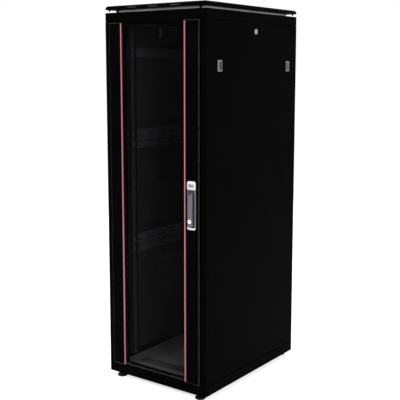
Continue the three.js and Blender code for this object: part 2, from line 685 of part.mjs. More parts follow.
// Right-hand side panel: a folded tray with two slide latches and a cam lock. The left one mirrors it.
function buildSidePanel(group, prefix) {
  const y0 = PANEL_CENTRE_Y - PANEL_LENGTH / 2;
  const y1 = PANEL_CENTRE_Y + PANEL_LENGTH / 2;
  const inner = HALF_W - PANEL_RETURN;
  const latches = [["front", -1], ["rear", 1]].map(([name, side]) => ({
    name, side, y: PANEL_CENTRE_Y + side * LATCH_OFFSET,
  }));
  const opening = (latch, x0, x1) =>
    box(
      x0, x1,
      latch.y - LATCH_OPENING.y, latch.y + LATCH_OPENING.y,
      LATCH_Z - LATCH_OPENING.z, LATCH_Z + LATCH_OPENING.z,
    );
  const panel = cut(
    box(inner, HALF_W, y0, y1, PANEL_BOTTOM, PANEL_TOP),
    box(inner - PAST, HALF_W - SHEET, y0 + SHEET, y1 - SHEET, PANEL_BOTTOM + SHEET, PANEL_TOP - SHEET),
    ...latches.map((latch) => opening(latch, inner, HALF_W + PAST)),
    cylinder("x", [PANEL_CENTRE_Y, PANEL_LOCK_Z], inner, HALF_W + PAST, PANEL_LOCK_R + 0.5),
  );
  add(group, `${prefix}_panel`, "blackSteel", panel);

  const proud = HALF_W + LID_OVERHANG;
  for (const latch of latches) {
    const bezelShape = roundedRect(
      latch.y - LATCH_WIDTH / 2, latch.y + LATCH_WIDTH / 2,
      LATCH_Z - LATCH_HEIGHT / 2, LATCH_Z + LATCH_HEIGHT / 2, LATCH_CORNER,
    );
    const bezel = cut(sideways(bezelShape, HALF_W + FIT, proud), opening(latch, HALF_W - PAST, proud + PAST));
    add(group, `${prefix}_latch_${latch.name}_bezel`, "latchGrey", bezel);
    add(group, `${prefix}_latch_${latch.name}_slider`, "latchGrey", latchSlider(latch));
  }
  add(group, `${prefix}_panel_lock`, "brightMetal", panelLock(proud));
}

// Slider: a thumb piece that rests against the outer end of the opening, with a tongue inside.
function latchSlider(latch) {
  const outer = latch.y + latch.side * (LATCH_OPENING.y - SLIDER_PLAY);
  const inner = outer - latch.side * THUMB.width;
  return join(
    box(
      HALF_W - THUMB.inner, HALF_W + THUMB.proud,
      ...inOrder(outer, inner), LATCH_Z - THUMB.half, LATCH_Z + THUMB.half,
    ),
    box(
      HALF_W - TONGUE.inner, HALF_W - TONGUE.outer,
      ...inOrder(outer + latch.side * TONGUE.reach, inner), LATCH_Z - TONGUE.half, LATCH_Z + TONGUE.half,
    ),
  );
}

// Lock: a flanged barrel through the panel, with a coin slot outside and a cam standing up inside.
function panelLock(proud) {
  const at = [PANEL_CENTRE_Y, PANEL_LOCK_Z];
  return cut(
    join(
      cylinder("x", at, HALF_W + FIT, proud, PANEL_LOCK_R + LOCK_FLANGE),
      cylinder("x", at, HALF_W - LOCK_DEPTH, HALF_W + 1, PANEL_LOCK_R),
      box(
        HALF_W - LOCK_CAM.inner, HALF_W - LOCK_CAM.outer,
        PANEL_CENTRE_Y - LOCK_CAM.half, PANEL_CENTRE_Y + LOCK_CAM.half,
        PANEL_LOCK_Z, PANEL_LOCK_Z + LOCK_CAM.reach,
      ),
    ),
    box(
      HALF_W - LOCK_SLOT.depth, proud + PAST,
      PANEL_CENTRE_Y - LOCK_SLOT.half, PANEL_CENTRE_Y + LOCK_SLOT.half,
      PANEL_LOCK_Z - LOCK_SLOT.reach, PANEL_LOCK_Z + LOCK_SLOT.reach,
    ),
  );
}

function buildSidePanels(group) {
  const right = new THREE.Group();
  const left = new THREE.Group();
  left.scale.x = -1;
  group.add(right, left);
  buildSidePanel(right, "right");
  buildSidePanel(left, "left");
}

buildFrame(cabinet);
buildFloorAndRoof(cabinet);
buildRails(cabinet);
buildBraces(cabinet);
buildFeet(cabinet);
buildDoors(cabinet);
buildSidePanels(cabinet);

export default cabinet;
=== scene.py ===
# %% [markdown]
# # A network cabinet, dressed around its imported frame
#
# The cabinet is a 600 x 800 mm steel enclosure for 19-inch equipment: a black frame with a smoked-glass
# front door, a vented steel rear door, two lift-off side panels and a raised roof lid. The CAD model
# already holds every sheet and every joint. This lesson adds what the eye needs: rolled edges, a shaped
# handle, turned feet, gaskets, fixings, and finishes that react to light as painted, plated and glazed
# steel do. All lengths are metres, and all places come from the CAD model's own boxes.

# %% Load the frame
import json
import math

import bmesh
import bpy
import numpy as np
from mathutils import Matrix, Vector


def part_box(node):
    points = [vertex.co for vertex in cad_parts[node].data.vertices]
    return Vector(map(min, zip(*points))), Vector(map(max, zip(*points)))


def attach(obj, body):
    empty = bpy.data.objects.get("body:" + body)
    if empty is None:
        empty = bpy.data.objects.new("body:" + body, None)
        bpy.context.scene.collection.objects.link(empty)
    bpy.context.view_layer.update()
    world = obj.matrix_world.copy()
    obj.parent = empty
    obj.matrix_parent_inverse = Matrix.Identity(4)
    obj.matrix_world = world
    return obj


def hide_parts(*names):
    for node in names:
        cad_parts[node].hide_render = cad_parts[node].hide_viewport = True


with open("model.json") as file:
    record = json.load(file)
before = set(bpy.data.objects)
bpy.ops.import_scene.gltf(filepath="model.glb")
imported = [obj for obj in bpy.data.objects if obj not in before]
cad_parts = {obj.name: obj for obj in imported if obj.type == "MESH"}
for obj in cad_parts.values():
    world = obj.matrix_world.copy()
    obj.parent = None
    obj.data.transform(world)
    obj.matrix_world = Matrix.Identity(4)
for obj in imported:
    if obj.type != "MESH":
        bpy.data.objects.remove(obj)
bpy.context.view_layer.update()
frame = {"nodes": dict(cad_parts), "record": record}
nodes = frame["nodes"]

# %% [markdown]
# ## Where to stand
#
# A product picture of something as tall as a person is taken from eye height. The camera stands off the
# cabinet's right front corner and looks slightly down through a short telephoto lens, so that the upright
# edges lean only a little. A small vertical shift frames the cabinet, as a rising back does on a view
# camera.

# %% Camera
CAMERA_PLACE = (2.357, -3.248, 1.547)
CAMERA_YAW = math.radians(36.28)
CAMERA_TILT = math.radians(7.96)
CAMERA_LENS = 70.93
CAMERA_SHIFT = -0.05

camera_data = bpy.data.cameras.new("camera")
camera_data.lens = CAMERA_LENS
camera_data.sensor_width = 36.0
camera_data.shift_y = CAMERA_SHIFT
camera = bpy.data.objects.new("camera", camera_data)
camera.location = CAMERA_PLACE
camera.rotation_euler = (math.pi / 2 - CAMERA_TILT, 0.0, CAMERA_YAW)
bpy.context.scene.collection.objects.link(camera)
bpy.context.scene.camera = camera
bpy.context.scene.view_settings.view_transform = "Standard"
print("camera at", CAMERA_PLACE)

# %% [markdown]
# ## Grids become meshes
#
# Most new pieces are computed as a grid of points. A row of the grid is a closed loop, such as the outline
# of a handle, and the loops follow one another over the surface. Neighbouring loops are joined by quads,
# and the first and the last one are capped, or joined to each other, so that every piece is a sealed body.
# A piece could also be pushed and pulled from a cube, but a formula keeps its real sizes and can be read
# again.


# %% Shells: arrays of points with the faces between them
def quads(loops, points, wrap):
    """Quads between neighbouring closed loops; with wrap, the last loop meets the first."""
    rows = np.arange(loops if wrap else loops - 1)[:, None]
    here = np.arange(points)[None, :]
    there = (here + 1) % points
    after = (rows + 1) % loops
    corners = [rows * points + here, rows * points + there, after * points + there, after * points + here]
    return np.stack(corners, axis=-1).reshape(-1, 4).tolist()


def capped(loops):
    """A shell through closed loops, given as (loops, points, 3), with the first and last loop filled."""
    loops = np.asarray(loops, float)
    count, points = loops.shape[:2]
    faces = quads(count, points, False)
    faces.append(list(range(points))[::-1])
    faces.append(list(range((count - 1) * points, count * points)))
    return loops.reshape(-1, 3), faces


def hooped(loops):
    """A shell through closed loops whose last one meets the first, as in a frame."""
    loops = np.asarray(loops, float)
    count, points = loops.shape[:2]
    return loops.reshape(-1, 3), quads(count, points, True)


def together(shells):
    """Many shells as one: their points in one array, and each one's faces counted on from the last."""
    starts = np.cumsum([0] + [len(points) for points, faces in shells[:-1]])
    faces = [[int(start) + i for i in face] for start, shell in zip(starts, shells) for face in shell[1]]
    return np.concatenate([points for points, faces in shells]), faces


def new_piece(name, *shells):
    """A mesh object from one or more shells, its doubles merged and its faces turned outwards."""
    points, faces = together(list(shells))
    mesh = bpy.data.meshes.new(name)
    mesh.from_pydata(points.tolist(), [], faces)
    work = bmesh.new()
    work.from_mesh(mesh)
    bmesh.ops.remove_doubles(work, verts=work.verts, dist=2e-6)
    bmesh.ops.recalc_face_normals(work, faces=work.faces)
    work.to_mesh(mesh)
    work.free()
    piece = bpy.data.objects.new(name, mesh)
    bpy.context.scene.collection.objects.link(piece)
    return piece


def shade(piece, angle=35.0):
    """Shades the piece smooth, but keeps an edge wherever two faces meet more sharply than the angle."""
    mesh = piece.data
    work = bmesh.new()
    work.from_mesh(mesh)
    for face in work.faces:
        face.smooth = True
    for edge in work.edges:
        edge.smooth = len(edge.link_faces) == 2 and edge.calc_face_angle(0.0) < math.radians(angle)
    work.to_mesh(mesh)
    work.free()


def fit_out(piece, body, slot, material, *replaced):
    """Gives a piece its finish, the body it moves with, and the CAD nodes that it stands for."""
    piece.data.materials.clear()
    piece.data.materials.append(material)
    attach(piece, body)
    if replaced:
        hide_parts(*replaced)


print("shell helpers ready")

# %% [markdown]
# ## Outlines and how they stand
#
# Sheet covers, bezels and handles are rectangles with round corners. One function gives that outline, and
# another stands it up across X, Y or Z. A turned body, such as a foot or a lock, is a profile carried round
# an axis. Drawn curves could do the same, but a function keeps every outline's points in step with the next
# one's.


# %% Outlines, boxes and turned bodies
SMALLEST_CORNER = 0.0005


def rounded(width, height, radius, corner_points=7):
    """Outline of a rectangle with round corners: four quarter circles about the inner corner points. The
    radius is one number, or one for each corner, counted from the top right."""
    radius = np.broadcast_to(radius, 4)[:, None]
    angle = np.linspace(0.0, np.pi / 2, corner_points) + np.arange(4)[:, None] * np.pi / 2
    centre_u = np.array([1, -1, -1, 1])[:, None] * (width / 2 - radius)
    centre_v = np.array([1, 1, -1, -1])[:, None] * (height / 2 - radius)
    outline = np.stack([centre_u + radius * np.cos(angle), centre_v + radius * np.sin(angle)], axis=-1)
    return outline.reshape(-1, 2)


def inset_outline(width, height, radius, inset):
    """The same outline moved inwards by an inset, its corner radius shrinking with it."""
    smaller = np.maximum(np.asarray(radius) - inset, SMALLEST_CORNER)
    return rounded(width - 2 * inset, height - 2 * inset, smaller)


def upright(axis, u, v, along):
    """Points whose u and v lie on the two other axes, in X, Y, Z order, and whose axis gets along."""
    order = {"x": (along, u, v), "y": (u, along, v), "z": (u, v, along)}
    return np.stack(order[axis], axis=-1)


def stand(outline, axis, centre, station):
    """An outline set about a centre in the plane across an axis, at one station of it."""
    along = np.broadcast_to(station, len(outline))
    return upright(axis, centre[0] + outline[:, 0], centre[1] + outline[:, 1], along)


def turned(profile, axis, centre, sides=48):
    """A turned shell: each (radius, station) of the profile becomes a circle about the axis."""
    profile = np.asarray(profile, float)
    angle = np.arange(sides) * 2 * np.pi / sides
    u = centre[0] + profile[:, :1] * np.cos(angle)
    v = centre[1] + profile[:, :1] * np.sin(angle)
    return capped(upright(axis, u, v, np.broadcast_to(profile[:, 1:], u.shape)))


BOX_RING = ((-1, -1), (1, -1), (1, 1), (-1, 1))
BOX_SIGNS = np.array([[x, y, z] for z in (-1, 1) for x, y in BOX_RING], float)
BOX_FACES = np.array([[3, 2, 1, 0], [4, 5, 6, 7], [0, 1, 5, 4], [1, 2, 6, 5], [2, 3, 7, 6], [3, 0, 4, 7]])


def boxes(centres, half_sizes):
    """Boxes as one shell: each centre plus its half size times the eight sign triples of a cube."""
    centres = np.asarray(centres, float).reshape(-1, 1, 3)
    points = centres + BOX_SIGNS * np.asarray(half_sizes, float).reshape(-1, 1, 3)
    faces = BOX_FACES + 8 * np.arange(len(centres))[:, None, None]
    return points.reshape(-1, 3), faces.reshape(-1, 4).tolist()


def quarter(radius, steps=5):
    """(inset, rise) of a quarter circle that turns a wall into a face: r(1 - cos a) and r sin a."""
    angle = np.linspace(0.0, np.pi / 2, steps)
    return np.stack([radius * (1 - np.cos(angle)), radius * np.sin(angle)], axis=-1)


def middle_of(low, high, *axes):
    """The middle of a box along the given axes."""
    return tuple((low[i] + high[i]) / 2 for i in axes)


def half_turned(shell):
    """The same shell on the rear door: turned half round about the upright axis."""
    points, faces = shell
    return points * np.array([-1.0, -1.0, 1.0]), faces


def mirrored(shell, side):
    """The same shell on the left (-1) or the right (1) side of the cabinet."""
    points, faces = shell
    return points * np.array([side, 1.0, 1.0]), faces


print("outline of a 44 by 224 mm housing has", len(rounded(0.044, 0.224, 0.009)), "points")

# %% [markdown]
# ## Patterns shared by the finishes
#
# Powder coat is never perfectly flat: it has an orange-peel ripple a few millimetres across and a fine
# grain. Zinc plate shows cloudy patches, and handled metal has fine lines. Dust settles on whatever faces
# up. Each of these is one node group with named inputs, built once and placed in every material that needs
# it with that material's own values. The patterns read object coordinates, which are metres on every piece.


# %% Shared shader groups
def shader_group(name, inputs, outputs):
    """A shader group with named inputs (label, kind, value) and outputs (label, kind)."""
    group = bpy.data.node_groups.new(name, "ShaderNodeTree")
    for label, kind, value in inputs:
        socket = group.interface.new_socket(name=label, in_out="INPUT", socket_type="NodeSocket" + kind)
        socket.default_value = value
    for label, kind in outputs:
        group.interface.new_socket(name=label, in_out="OUTPUT", socket_type="NodeSocket" + kind)
    return group, group.nodes.new("NodeGroupInput").outputs, group.nodes.new("NodeGroupOutput").inputs


def feed(tree, value, socket):
    """Puts a number, or the output of another node, into a socket."""
    if isinstance(value, (int, float)):
        socket.default_value = value
    else:
        tree.links.new(value, socket)


def maths(tree, operation, first, second):
    """One Math node on two numbers or sockets."""
    node = tree.nodes.new("ShaderNodeMath")
    node.operation = operation
    feed(tree, first, node.inputs[0])
    feed(tree, second, node.inputs[1])
    return node.outputs[0]


def coordinates(tree, kind="Object"):
    """X, Y and Z sockets of a texture coordinate: metres on the piece, or its normal."""
    place = tree.nodes.new("ShaderNodeTexCoord")
    split = tree.nodes.new("ShaderNodeSeparateXYZ")
    tree.links.new(place.outputs[kind], split.inputs[0])
    return split.outputs


def distance(tree, value, centre):
    """How far a value is from a centre: |value - centre|."""
    return maths(tree, "ABSOLUTE", maths(tree, "SUBTRACT", value, centre), 0.0)


def wander(tree, pattern, amount, middle):
    """A middle value that a 0 to 1 pattern moves up and down by half the amount."""
    moved = maths(tree, "MULTIPLY", maths(tree, "SUBTRACT", pattern, 0.5), amount)
    return maths(tree, "ADD", middle, moved)


def spread(tree, value, low, high):
    """Stretches the part of a value between low and high over 0 to 1."""
    node = tree.nodes.new("ShaderNodeMapRange")
    node.inputs["From Min"].default_value = low
    node.inputs["From Max"].default_value = high
    tree.links.new(value, node.inputs["Value"])
    return node.outputs["Result"]


def blend_colours(tree, factor, first, second):
    """Mixes two colour sockets by a factor."""
    node = tree.nodes.new("ShaderNodeMix")
    node.data_type = "RGBA"
    tree.links.new(factor, node.inputs["Factor"])
    tree.links.new(first, node.inputs[6])
    tree.links.new(second, node.inputs[7])
    return node.outputs[2]


def noise(tree, scale, detail=3.0, stretch=(1.0, 1.0, 1.0)):
    """Noise on object coordinates, its size in lumps a metre, stretched along the axes."""
    place = tree.nodes.new("ShaderNodeTexCoord")
    mapping = tree.nodes.new("ShaderNodeMapping")
    mapping.inputs["Scale"].default_value = stretch
    pattern = tree.nodes.new("ShaderNodeTexNoise")
    pattern.inputs["Detail"].default_value = detail
    tree.links.new(place.outputs["Object"], mapping.inputs["Vector"])
    tree.links.new(mapping.outputs["Vector"], pattern.inputs["Vector"])
    feed(tree, scale, pattern.inputs["Scale"])
    return pattern.outputs["Fac"]


def make_coat_group():
    """Ripple plus grain as a height, and a roughness that wanders about its middle in slow clouds."""
    group, given, out = shader_group(
        "sprayed_coat",
        [
            ("Roughness", "Float", 0.45),
            ("Variation", "Float", 0.1),
            ("Ripple Scale", "Float", 260.0),
            ("Grain Scale", "Float", 1500.0),
            ("Grain Share", "Float", 0.35),
        ],
        [("Height", "Float"), ("Roughness", "Float")],
    )
    ripple = noise(group, given["Ripple Scale"], 1.0)
    grain = maths(group, "MULTIPLY", noise(group, given["Grain Scale"], 2.0), given["Grain Share"])
    varied = wander(group, noise(group, 3.0, 4.0), given["Variation"], given["Roughness"])
    group.links.new(maths(group, "ADD", ripple, grain), out["Height"])
    group.links.new(varied, out["Roughness"])
    return group


def make_cloud_group():
    """Two colours mixed in soft patches."""
    group, given, out = shader_group(
        "cloudy_colour",
        [
            ("Colour", "Color", (0.5, 0.5, 0.5, 1.0)),
            ("Patch Colour", "Color", (0.4, 0.4, 0.4, 1.0)),
            ("Patch Scale", "Float", 30.0),
        ],
        [("Colour", "Color"), ("Mask", "Float")],
    )
    mask = spread(group, noise(group, given["Patch Scale"], 4.0), 0.35, 0.65)
    group.links.new(blend_colours(group, mask, given["Colour"], given["Patch Colour"]), out["Colour"])
    group.links.new(mask, out["Mask"])
    return group


def make_brush_group():
    """Fine upright lines as a height, and a roughness that follows them."""
    group, given, out = shader_group(
        "brushed_lines",
        [("Roughness", "Float", 0.3), ("Variation", "Float", 0.15), ("Line Scale", "Float", 900.0)],
        [("Height", "Float"), ("Roughness", "Float")],
    )
    lines = noise(group, given["Line Scale"], 2.0, (1.0, 1.0, 0.03))
    varied = wander(group, lines, given["Variation"], given["Roughness"])
    group.links.new(lines, out["Height"])
    group.links.new(varied, out["Roughness"])
    return group


def make_dust_group():
    """Adds pale dust to a colour where the surface faces up, thinned by two sizes of noise."""
    group, given, out = shader_group(
        "settled_dust",
        [
            ("Colour", "Color", (0.1, 0.1, 0.1, 1.0)),
            ("Dust", "Color", (0.3, 0.29, 0.27, 1.0)),
            ("Amount", "Float", 0.1),
        ],
        [("Colour", "Color")],
    )
    facing_up = spread(group, coordinates(group, "Normal")["Z"], 0.6, 1.0)
    patches = spread(group, noise(group, 18.0, 6.0), 0.35, 0.75)
    mask = maths(group, "MULTIPLY", maths(group, "MULTIPLY", facing_up, patches), given["Amount"])
    group.links.new(blend_colours(group, mask, given["Colour"], given["Dust"]), out["Colour"])
    return group


COAT = make_coat_group()
CLOUD = make_cloud_group()
BRUSH = make_brush_group()
DUST = make_dust_group()
print("shader groups:", [group.name for group in bpy.data.node_groups])

# %% [markdown]
# ## Finishes
#
# A finish is a Principled shader with the numbers of its material set straight on the sockets, and the
# shared groups plugged in where the surface varies. Black powder coat reflects little: its specular level
# and its refractive index are low, so the big panels stay deep black. The doors' rolled edges get a lighter
# grey coat, a painted highlight that draws the line of light along each fold. Zinc is a metal with a
# slightly blue, cloudy plate. Smoked glass could be made with transmission, but the lamps would not reach
# the bay behind it. So it is a thin dark film: part of the light goes straight through, and the surface
# keeps a faint shine.


# %% Finish helpers
FINE_RIPPLE = 260.0
FINE_GRAIN = 1500.0
COAT_DEPTH = 0.0004


def finish(name, colour, roughness, metallic=0.0, specular=0.5):
    """A new material: itself, its node tree, and its Principled shader with the plain values set."""
    material = bpy.data.materials.new(name)
    material.use_nodes = True
    tree = material.node_tree
    shader = tree.nodes["Principled BSDF"]
    shader.inputs["Base Color"].default_value = (*colour, 1.0)
    shader.inputs["Roughness"].default_value = roughness
    shader.inputs["Metallic"].default_value = metallic
    shader.inputs["Specular IOR Level"].default_value = specular
    return material, tree, shader


def place_group(tree, group, **values):
    """A group node in a material, its inputs set by name (an underscore stands for a space)."""
    node = tree.nodes.new("ShaderNodeGroup")
    node.node_tree = group
    for label, value in values.items():
        node.inputs[label.replace("_", " ")].default_value = value
    return node


def bump(tree, shader, height, strength, distance):
    """A Bump node from a height to the shader's normal."""
    node = tree.nodes.new("ShaderNodeBump")
    node.inputs["Strength"].default_value = strength
    node.inputs["Distance"].default_value = distance
    tree.links.new(height, node.inputs["Height"])
    tree.links.new(node.outputs["Normal"], shader.inputs["Normal"])


def clouded(tree, colour, patch, scale):
    """The colour socket of a cloudy mix of two colours."""
    node = place_group(tree, CLOUD, Colour=(*colour, 1.0), Patch_Colour=(*patch, 1.0), Patch_Scale=scale)
    return node.outputs["Colour"]


def spray(tree, shader, roughness, variation=0.12, ripple=FINE_RIPPLE, grain=FINE_GRAIN, strength=0.25):
    """Lays the sprayed coat over a shader: its roughness, and its height as a bump."""
    coat = place_group(
        tree, COAT, Roughness=roughness, Variation=variation, Ripple_Scale=ripple, Grain_Scale=grain
    )
    tree.links.new(coat.outputs["Roughness"], shader.inputs["Roughness"])
    bump(tree, shader, coat.outputs["Height"], strength, COAT_DEPTH)


def coated(name, colour, roughness, specular, ripple=FINE_RIPPLE, grain=FINE_GRAIN, strength=0.25, dust=0.0):
    """A sprayed or moulded finish: a nearly even colour on a rippled, grained surface, with some dust."""
    material, tree, shader = finish(name, colour, roughness, 0.0, specular)
    darker = tuple(0.75 * part for part in colour)
    dusty = place_group(tree, DUST, Amount=dust)
    tree.links.new(clouded(tree, colour, darker, 6.0), dusty.inputs["Colour"])
    tree.links.new(dusty.outputs["Colour"], shader.inputs["Base Color"])
    spray(tree, shader, roughness, ripple=ripple, grain=grain, strength=strength)
    return material


def deep_black(name, colour, roughness, ior):
    """A dark coat with a low refractive index, so that it stays black even where it is seen edge on."""
    material = coated(name, colour, roughness, 0.12, dust=0.01)
    material.node_tree.nodes["Principled BSDF"].inputs["IOR"].default_value = ior
    return material


def rail_coat(name, dark, light):
    """A rail's coat: dark, with a lighter band along the holes and a printed tick at each rack unit. The band
    is where |x| is below its edge; a tick is where the height, counted in units, is near a whole number."""
    material, tree, shader = finish(name, dark, 0.45, 0.0, 0.2)
    place = coordinates(tree)
    across = maths(tree, "ABSOLUTE", place["X"], 0.0)
    units = maths(tree, "DIVIDE", maths(tree, "SUBTRACT", place["Z"], UNIT_START), UNIT)
    tick = maths(tree, "LESS_THAN", maths(tree, "FRACT", units, 0.0), TICK_SHARE)
    on_tick = maths(tree, "LESS_THAN", distance(tree, across, TICK_CENTRE), TICK_HALF)
    band = maths(tree, "LESS_THAN", across, BAND_EDGE)
    plain, tone, inked = (clouded(tree, colour, colour, 8.0) for colour in (dark, light, PRINT))
    banded = blend_colours(tree, band, plain, tone)
    marked = blend_colours(tree, maths(tree, "MULTIPLY", tick, on_tick), banded, inked)
    tree.links.new(marked, shader.inputs["Base Color"])
    spray(tree, shader, 0.45)
    return material


def strip_with_painted_highlight(name, highlight_colour, rim, centres):
    """A glossy strip with a painted highlight along its crown: the pale highlight colour near a centre line
    x, the rim's deep colour beyond.
    """
    material, tree, shader = finish(name, highlight_colour, 0.25, 0.0, 0.5)
    across = coordinates(tree)["X"]
    away = [distance(tree, across, centre) for centre in centres]
    edge = spread(tree, maths(tree, "MINIMUM", *away), HIGHLIGHT_FULL_WIDTH, HIGHLIGHT_FADED_WIDTH)
    pale, deep = (clouded(tree, colour, colour, 9.0) for colour in (highlight_colour, rim))
    tree.links.new(blend_colours(tree, edge, pale, deep), shader.inputs["Base Color"])
    spray(tree, shader, 0.25, variation=0.1, ripple=500.0, grain=3000.0, strength=0.05)
    return material


def plated(name, colour, patch, roughness, patch_scale=40.0):
    """A plated metal: cloudy colour under fine drawn lines."""
    material, tree, shader = finish(name, colour, roughness, 1.0)
    brushed = place_group(tree, BRUSH, Roughness=roughness, Variation=0.2, Line_Scale=900.0)
    tree.links.new(clouded(tree, colour, patch, patch_scale), shader.inputs["Base Color"])
    tree.links.new(brushed.outputs["Roughness"], shader.inputs["Roughness"])
    bump(tree, shader, brushed.outputs["Height"], 0.15, 0.0002)
    return material


def smoked(name, tint, film, specular):
    """A dark clear pane: each of its two surfaces lets 1 - film of the light straight through."""
    material, tree, shader = finish(name, tint, 0.04, 0.0, specular)
    shader.inputs["Alpha"].default_value = film
    wiped = place_group(tree, BRUSH, Roughness=0.04, Variation=0.04, Line_Scale=14.0)
    tree.links.new(wiped.outputs["Roughness"], shader.inputs["Roughness"])
    return material


# %% Finishes of the cabinet
UNIT = 0.04445
UNIT_START = 0.099
TICK_SHARE = 0.025
TICK_CENTRE = 0.2422
TICK_HALF = 0.0028
BAND_EDGE = 0.246
PRINT = (0.5, 0.5, 0.5)
HIGHLIGHT_FULL_WIDTH = 0.0014
HIGHLIGHT_FADED_WIDTH = 0.0036
STRIP_CENTRES = (-0.1935, 0.1865)
FINISHES = {
    "black_steel": deep_black("powder_black", (0.0015, 0.0015, 0.0017), 0.36, 1.07),
    "zinc_steel": plated("zinc_plate", (0.32, 0.34, 0.38), (0.24, 0.255, 0.29), 0.42),
    "smoked_glass": smoked("smoked_glass", (0.001, 0.001, 0.001), 0.28, 0.03),
    # The strips' pale centre is a painted highlight along their crowns, over a deep red.
    "red_trim": strip_with_painted_highlight("red_with_painted_highlight", (0.42, 0.15, 0.17), (0.13, 0.005, 0.01), STRIP_CENTRES),
    "handle_grey": coated("satin_grey", (0.12, 0.11, 0.135), 0.33, 0.5, 700.0, 3000.0, 0.08),
    "housing_grey": coated("moulded_grey", (0.15, 0.148, 0.175), 0.45, 0.4, 900.0, 4000.0, 0.12),
    "white_plate": coated("off_white", (0.8, 0.78, 0.78), 0.4, 0.4, 900.0, 4000.0, 0.05),
    "bright_metal": plated("bright_nickel", (0.8, 0.82, 0.84), (0.7, 0.72, 0.75), 0.18, 90.0),
    "latch_grey": coated("moulded_light_grey", (0.16, 0.16, 0.16), 0.5, 0.4, 900.0, 4000.0, 0.15),
    "black_plastic": coated("moulded_black", (0.006, 0.006, 0.006), 0.55, 0.2, 1200.0, 5000.0, 0.2, 0.04),
}
# The lighter grey coat is a painted highlight on the door folds and on the lid's ribs.
HIGHLIGHT_COAT = coated("painted_highlight_coat", (0.1, 0.1, 0.102), 0.3, 0.6, strength=0.1)
CHARCOAL = coated("powder_charcoal", (0.1, 0.101, 0.12), 0.45, 0.2, dust=0.1)
RAIL_COAT = rail_coat("powder_rail", (0.018, 0.018, 0.02), (0.075, 0.075, 0.085))
# A lighter copy of the panel coat: painted light on the panels' inside faces.
INNER_PAINTED_LIGHT = coated("powder_inside_painted_light", (0.05, 0.05, 0.052), 0.6, 0.1)
FLOOR_COAT = coated("floor_charcoal", (0.26, 0.26, 0.27), 0.5, 0.2, dust=0.3)
# The filter's pale colour is painted light, standing in for the light seen through the gap under the lid.
FILTER_PAINTED_LIGHT = coated("filter_painted_light", (0.66, 0.66, 0.67), 0.8, 0.1, 900.0, 5000.0, 0.3)
# Painted shade for the sunk middle of the handle housings.
RECESS_SHADE = coated("recess_painted_shade", (0.04, 0.037, 0.048), 0.5, 0.3, 900.0, 4000.0, 0.12)
BRISTLE = coated("bristle_grey", (0.15, 0.15, 0.155), 0.7, 0.1, 1200.0, 5000.0, 0.2)
DULL_NICKEL = plated("dull_nickel", (0.42, 0.43, 0.44), (0.34, 0.35, 0.36), 0.32, 90.0)
LABEL_FIELD = coated("label_field", (0.33, 0.29, 0.3), 0.5, 0.3, 900.0, 4000.0, 0.03)

slot_of = {part["node"]: part["material_slot"] for part in frame["record"]["subparts"]}
bodies = frame["record"]["behaviour"]["bodies"]
body_of = {node: body for body, members in bodies.items() for node in members}
for node_name, node in nodes.items():
    node.data.materials.clear()
    node.data.materials.append(FINISHES[slot_of[node_name]])
print("finishes:", sorted(FINISHES))

# %% [markdown]
# ## Sheet metal with rolled edges
#
# A press brake never leaves a knife edge, and the thin line of light along a bend is what tells the eye
# that a black surface is folded steel. The CAD sheets are sharp, so each one is copied, its loose triangles
# are merged and flat neighbours joined, and a Bevel modifier rounds what is left. Two radii are needed: cut
# edges get half a millimetre, and the outer folds, which lie on the limits of the piece, get the bending
# radius. The bevel reads them as weights on the edges, and the copy keeps every hole and slot of the CAD
# sheet.

# %% Rolled sheets
CUT_EDGE = 0.0005
FOLD = {"front_door_frame": 0.0034, "rear_door_panel": 0.0034, "base_frame": 0.0024, "top_frame": 0.0024}
FOLD_ELSEWHERE = 0.002
DOORS = ("front_door_frame", "rear_door_panel")
COAT_OF = {"rail": RAIL_COAT, "brace": CHARCOAL, "floor": FLOOR_COAT, "spindle": FINISHES["zinc_steel"]}
SHARP = math.radians(40)
TOUCHING = 0.0001


def on_limits(place, low, high):
    """How many of the three axes have the point at the piece's own lowest or highest coordinate."""
    return sum(min(abs(p - a), abs(p - b)) < TOUCHING for p, a, b in zip(place, low, high))


def paint_inside(piece):
    """Gives the faces of a side panel that look into the cabinet a lighter grey: painted light on the inside
    seen through the glass.
    """
    piece.data.materials.append(INNER_PAINTED_LIGHT)
    side = 1.0 if piece.data.vertices[0].co.x > 0 else -1.0
    for face in piece.data.polygons:
        if side * face.normal.x < -0.9:
            face.material_index = 1


